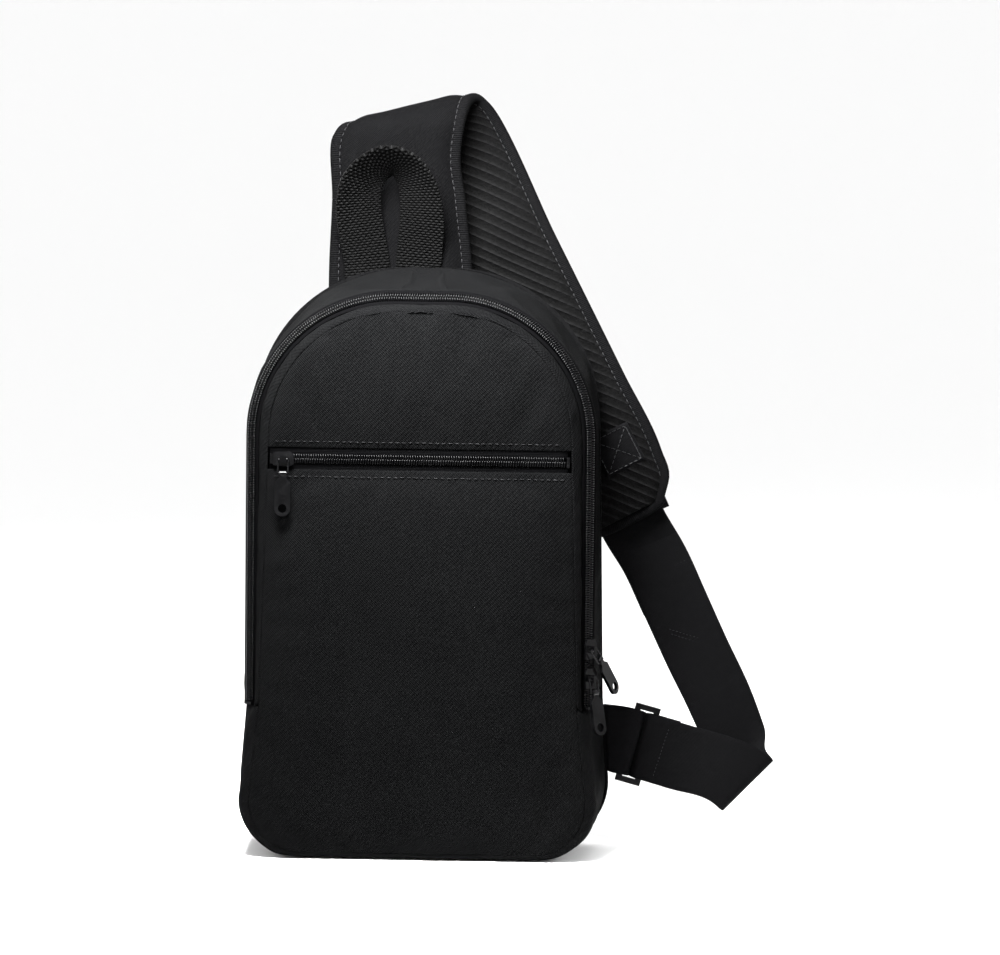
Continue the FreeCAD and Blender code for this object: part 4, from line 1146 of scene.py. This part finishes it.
def tab_route():
    """A doubled tab from the bag's side seam round the side ring's near bar."""
    bar = BUCKLE_CENTRE - BUCKLE_DOWN * BAR_OFFSET
    lean = unit(vec(-0.08, 0, 1))
    root = vec(98.9, 0, 58.0)
    sections = wrap(bar, BUCKLE_DOWN, BUCKLE_UP, -1)
    first = section((root[0], LOWER_Y - WRAP, root[2]), lean, (0, -1, 0), WEB)
    last = section((root[0], LOWER_Y + WRAP, root[2]), lean, (0, 1, 0), WEB)
    return [first] + sections + [last]


def adjuster_route():
    """A tab from the strap's tip round the upper bar of its ring."""
    bar = ADJUSTER_CENTRE + ADJUSTER_UP * BAR_OFFSET
    sections = wrap(bar, -ADJUSTER_UP, ADJUSTER_ACROSS, 1, tail=12.0)
    root = bar + ADJUSTER_UP * 14.0
    root[1] = ADJUSTER_Y - WRAP + 0.6
    sections.append(section(root, ADJUSTER_ACROSS, (0, -1, 0), WEB))
    return sections


WEB_RUN = resample(webbing_route(), 2.0)
for name, node, run in (("long_webbing_strap", "long_webbing", WEB_RUN),
                        ("anchor_tab_webbing", "anchor_tab", resample(tab_route(), 2.0)),
                        ("adjuster_tab_webbing", "adjuster_tab", resample(adjuster_route(), 2.0))):
    place(sweep(name, run, flat_profile(WEB_THICK, 14), WEBBING), "webbing", node)


def dots_on(name, near, rows):
    """Rows of small stitches on the webbing face: each row is two (across, along) ends."""
    centre, across, normal = near["centre"], near["across"], near["normal"]
    ahead = unit(np.cross(across, normal))
    for k, ((a0, b0), (a1, b1)) in enumerate(rows):
        ends = [centre + across * a + ahead * b + normal * 0.85 for a, b in ((a0, b0), (a1, b1))]
        path = [between(ends[0], ends[1], t) for t in np.linspace(0, 1, 6)]
        stitches(f"{name}_{k}", path, [normal] * 6, long=1.0, gap=1.0, thick=0.4, lift=0.0)


def nearest(run, x, z, facing):
    """The section of a run closest to a place seen from the front, on the layer facing it."""
    return min((s for s in run if s["normal"][1] * facing < 0),
               key=lambda s: math.hypot(s["centre"][0] - x, s["centre"][2] - z))


dots_on("buckle_row", nearest(WEB_RUN, 130.0, 51.0, 1),
        [((-14, 0), (14, 0)), ((-14, 3.2), (14, 3.2))])
limb_face = dict(nearest(WEB_RUN, 146.0, 113.0, -1))
limb_face["normal"] = -limb_face["normal"]
dots_on("limb_row", limb_face,
        [((-9, -8), (0, 0)), ((0, 0), (9, 7)), ((-9, -5), (0, 3)), ((0, 3), (9, 10))])
tip_face = dict(nearest(WEB_RUN, 124.5, 153.0, -1))
tip_face["normal"] = -tip_face["normal"]
dots_on("tip_row", tip_face, [((-16, 6), (16, 6)), ((-16, 9), (16, 9))])


# ---------------------------------------------------------------- stitched lines on the case

def line_on_front(z):
    """A level line on the front panels, following their bulge."""
    path = front_points[int(np.argmin(abs(HEIGHTS - z)))].copy()
    path[:, 2] = z
    path[:, 1] += 0.3
    return path[1:-1]


for name, z in (("pocket_stitch_upper", ZIP_Z + SEW_OFF), ("pocket_stitch_lower", ZIP_Z - SEW_OFF)):
    path = line_on_front(z)
    stitches(name, path, [(0, -1, 0)] * len(path))


# ---------------------------------------------------------------- hard pieces and linings

def finish_node(name, material, bevel=0.0):
    """Give a node its material and, where it is moulded or cast, rounded edges."""
    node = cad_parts[name]
    node.data.materials.clear()
    node.data.materials.append(material)
    if bevel:
        rounding = node.modifiers.new("edges", "BEVEL")
        rounding.width = bevel * MM
        rounding.segments = 3
        rounding.limit_method = "ANGLE"
        rounding.angle_limit = math.radians(35)
        rounding.harden_normals = False


for prefix in ("pocket", "upper_main", "lower_main"):
    finish_node(prefix + "_slider", ENAMEL, 0.3)
    finish_node(prefix + "_bail", ENAMEL)
    finish_node(prefix + "_pull", ENAMEL, 0.4)
for name in ("main_zip_stop_right", "main_zip_stop_left", "pocket_zip_stop_right", "pocket_zip_stop_left"):
    finish_node(name, ENAMEL, 0.3)
for name in ("side_buckle", "strap_adjuster"):
    finish_node(name, PLASTIC, 0.8)
for name in ("pocket_back", "back_lining", "inner_pocket"):
    finish_node(name, LINING)
for name in ("back_seam_binding", "front_seam_binding"):
    finish_node(name, BINDING)


# ---------------------------------------------------------------- floor, light and camera

def studio():
    """A pale floor that rises far away, soft light all round, and a broad light from above."""
    points, faces = [], []
    profile = [(0.0, 0.0), (1.2, 0.0), (2.2, 0.0), (3.2, 0.06),
               (4.4, 0.35), (5.4, 1.0), (6.2, 2.4), (6.6, 4.4)]
    around = 64
    for radius, height in profile:
        for k in range(around):
            angle = 2 * math.pi * k / around
            points.append(vec(radius * math.cos(angle), radius * math.sin(angle), height) / MM)
    faces = grid_faces(len(profile), around, closed=True)
    floor_nodes = Nodes("paper_floor")
    spot = floor_nodes.add("ShaderNodeTexCoord").outputs["Object"]
    floor_nodes.drive("Normal", floor_nodes.bump(floor_nodes.noise(spot, 900.0), 0.00005))
    floor_nodes.surface(Base_Color=(0.98, 0.98, 0.98, 1), Roughness=0.9, Specular_IOR_Level=0.1)
    floor = new_object("studio_floor", points, faces, floor_nodes.material)
    floor.data.transform(Matrix.Translation((0, 0, -0.0006)))
    world = bpy.data.worlds.new("studio")
    bpy.context.scene.world = world
    world.use_nodes = True
    world.node_tree.nodes["Background"].inputs["Color"].default_value = (1, 1, 1, 1)
    world.node_tree.nodes["Background"].inputs["Strength"].default_value = 1.0
    for name, where, aim_height, size_m, beam, power in (
            ("key", (-0.06, -0.24, 0.58), 0.29, 0.20, 75.0, 7.5),
            ("top", (0.15, 0.10, 1.05), 0.18, 0.50, 150.0, 3.0),
            ("side", (1.2, -0.5, 0.7), 0.18, 0.50, 150.0, 5.0),
            ("back", (-0.9, 1.3, 0.5), 0.15, 0.60, 150.0, 5.0)):
        light = bpy.data.lights.new(name, "AREA")
        light.size = size_m
        light.spread = math.radians(beam)
        light.energy = power
        lamp = bpy.data.objects.new(name, light)
        lamp.location = where
        aim = Vector((0.02, 0, aim_height)) - Vector(where)
        lamp.rotation_euler = aim.to_track_quat("-Z", "Y").to_euler()
        bpy.context.scene.collection.objects.link(lamp)


def camera():
    """A long lens from the front, a little to the left and above."""
    azimuth, elevation, roll = math.radians(2.5), math.radians(5.7), math.radians(0.6)
    forward = Vector((-math.sin(azimuth) * math.cos(elevation), math.cos(azimuth) * math.cos(elevation),
                      -math.sin(elevation)))
    right = forward.cross(Vector((0, 0, 1))).normalized()
    up = right.cross(forward)
    rolled_right = right * math.cos(roll) + up * math.sin(roll)
    rolled_up = up * math.cos(roll) - right * math.sin(roll)
    distance, view_wide = 4.5, 0.538
    aim = Vector((0, -0.04, 0)) + rolled_right * 0.0452 + rolled_up * 0.2058
    data = bpy.data.cameras.new("camera")
    data.sensor_width = 36.0
    data.lens = data.sensor_width * distance / view_wide
    obj = bpy.data.objects.new("camera", data)
    matrix = Matrix((rolled_right, rolled_up, -forward)).transposed().to_4x4()
    matrix.translation = aim - forward * distance
    obj.matrix_world = matrix
    bpy.context.scene.collection.objects.link(obj)
    bpy.context.scene.camera = obj


studio()
camera()
bpy.context.scene.view_settings.view_transform = "Standard"
bpy.context.scene.view_settings.look = "None"
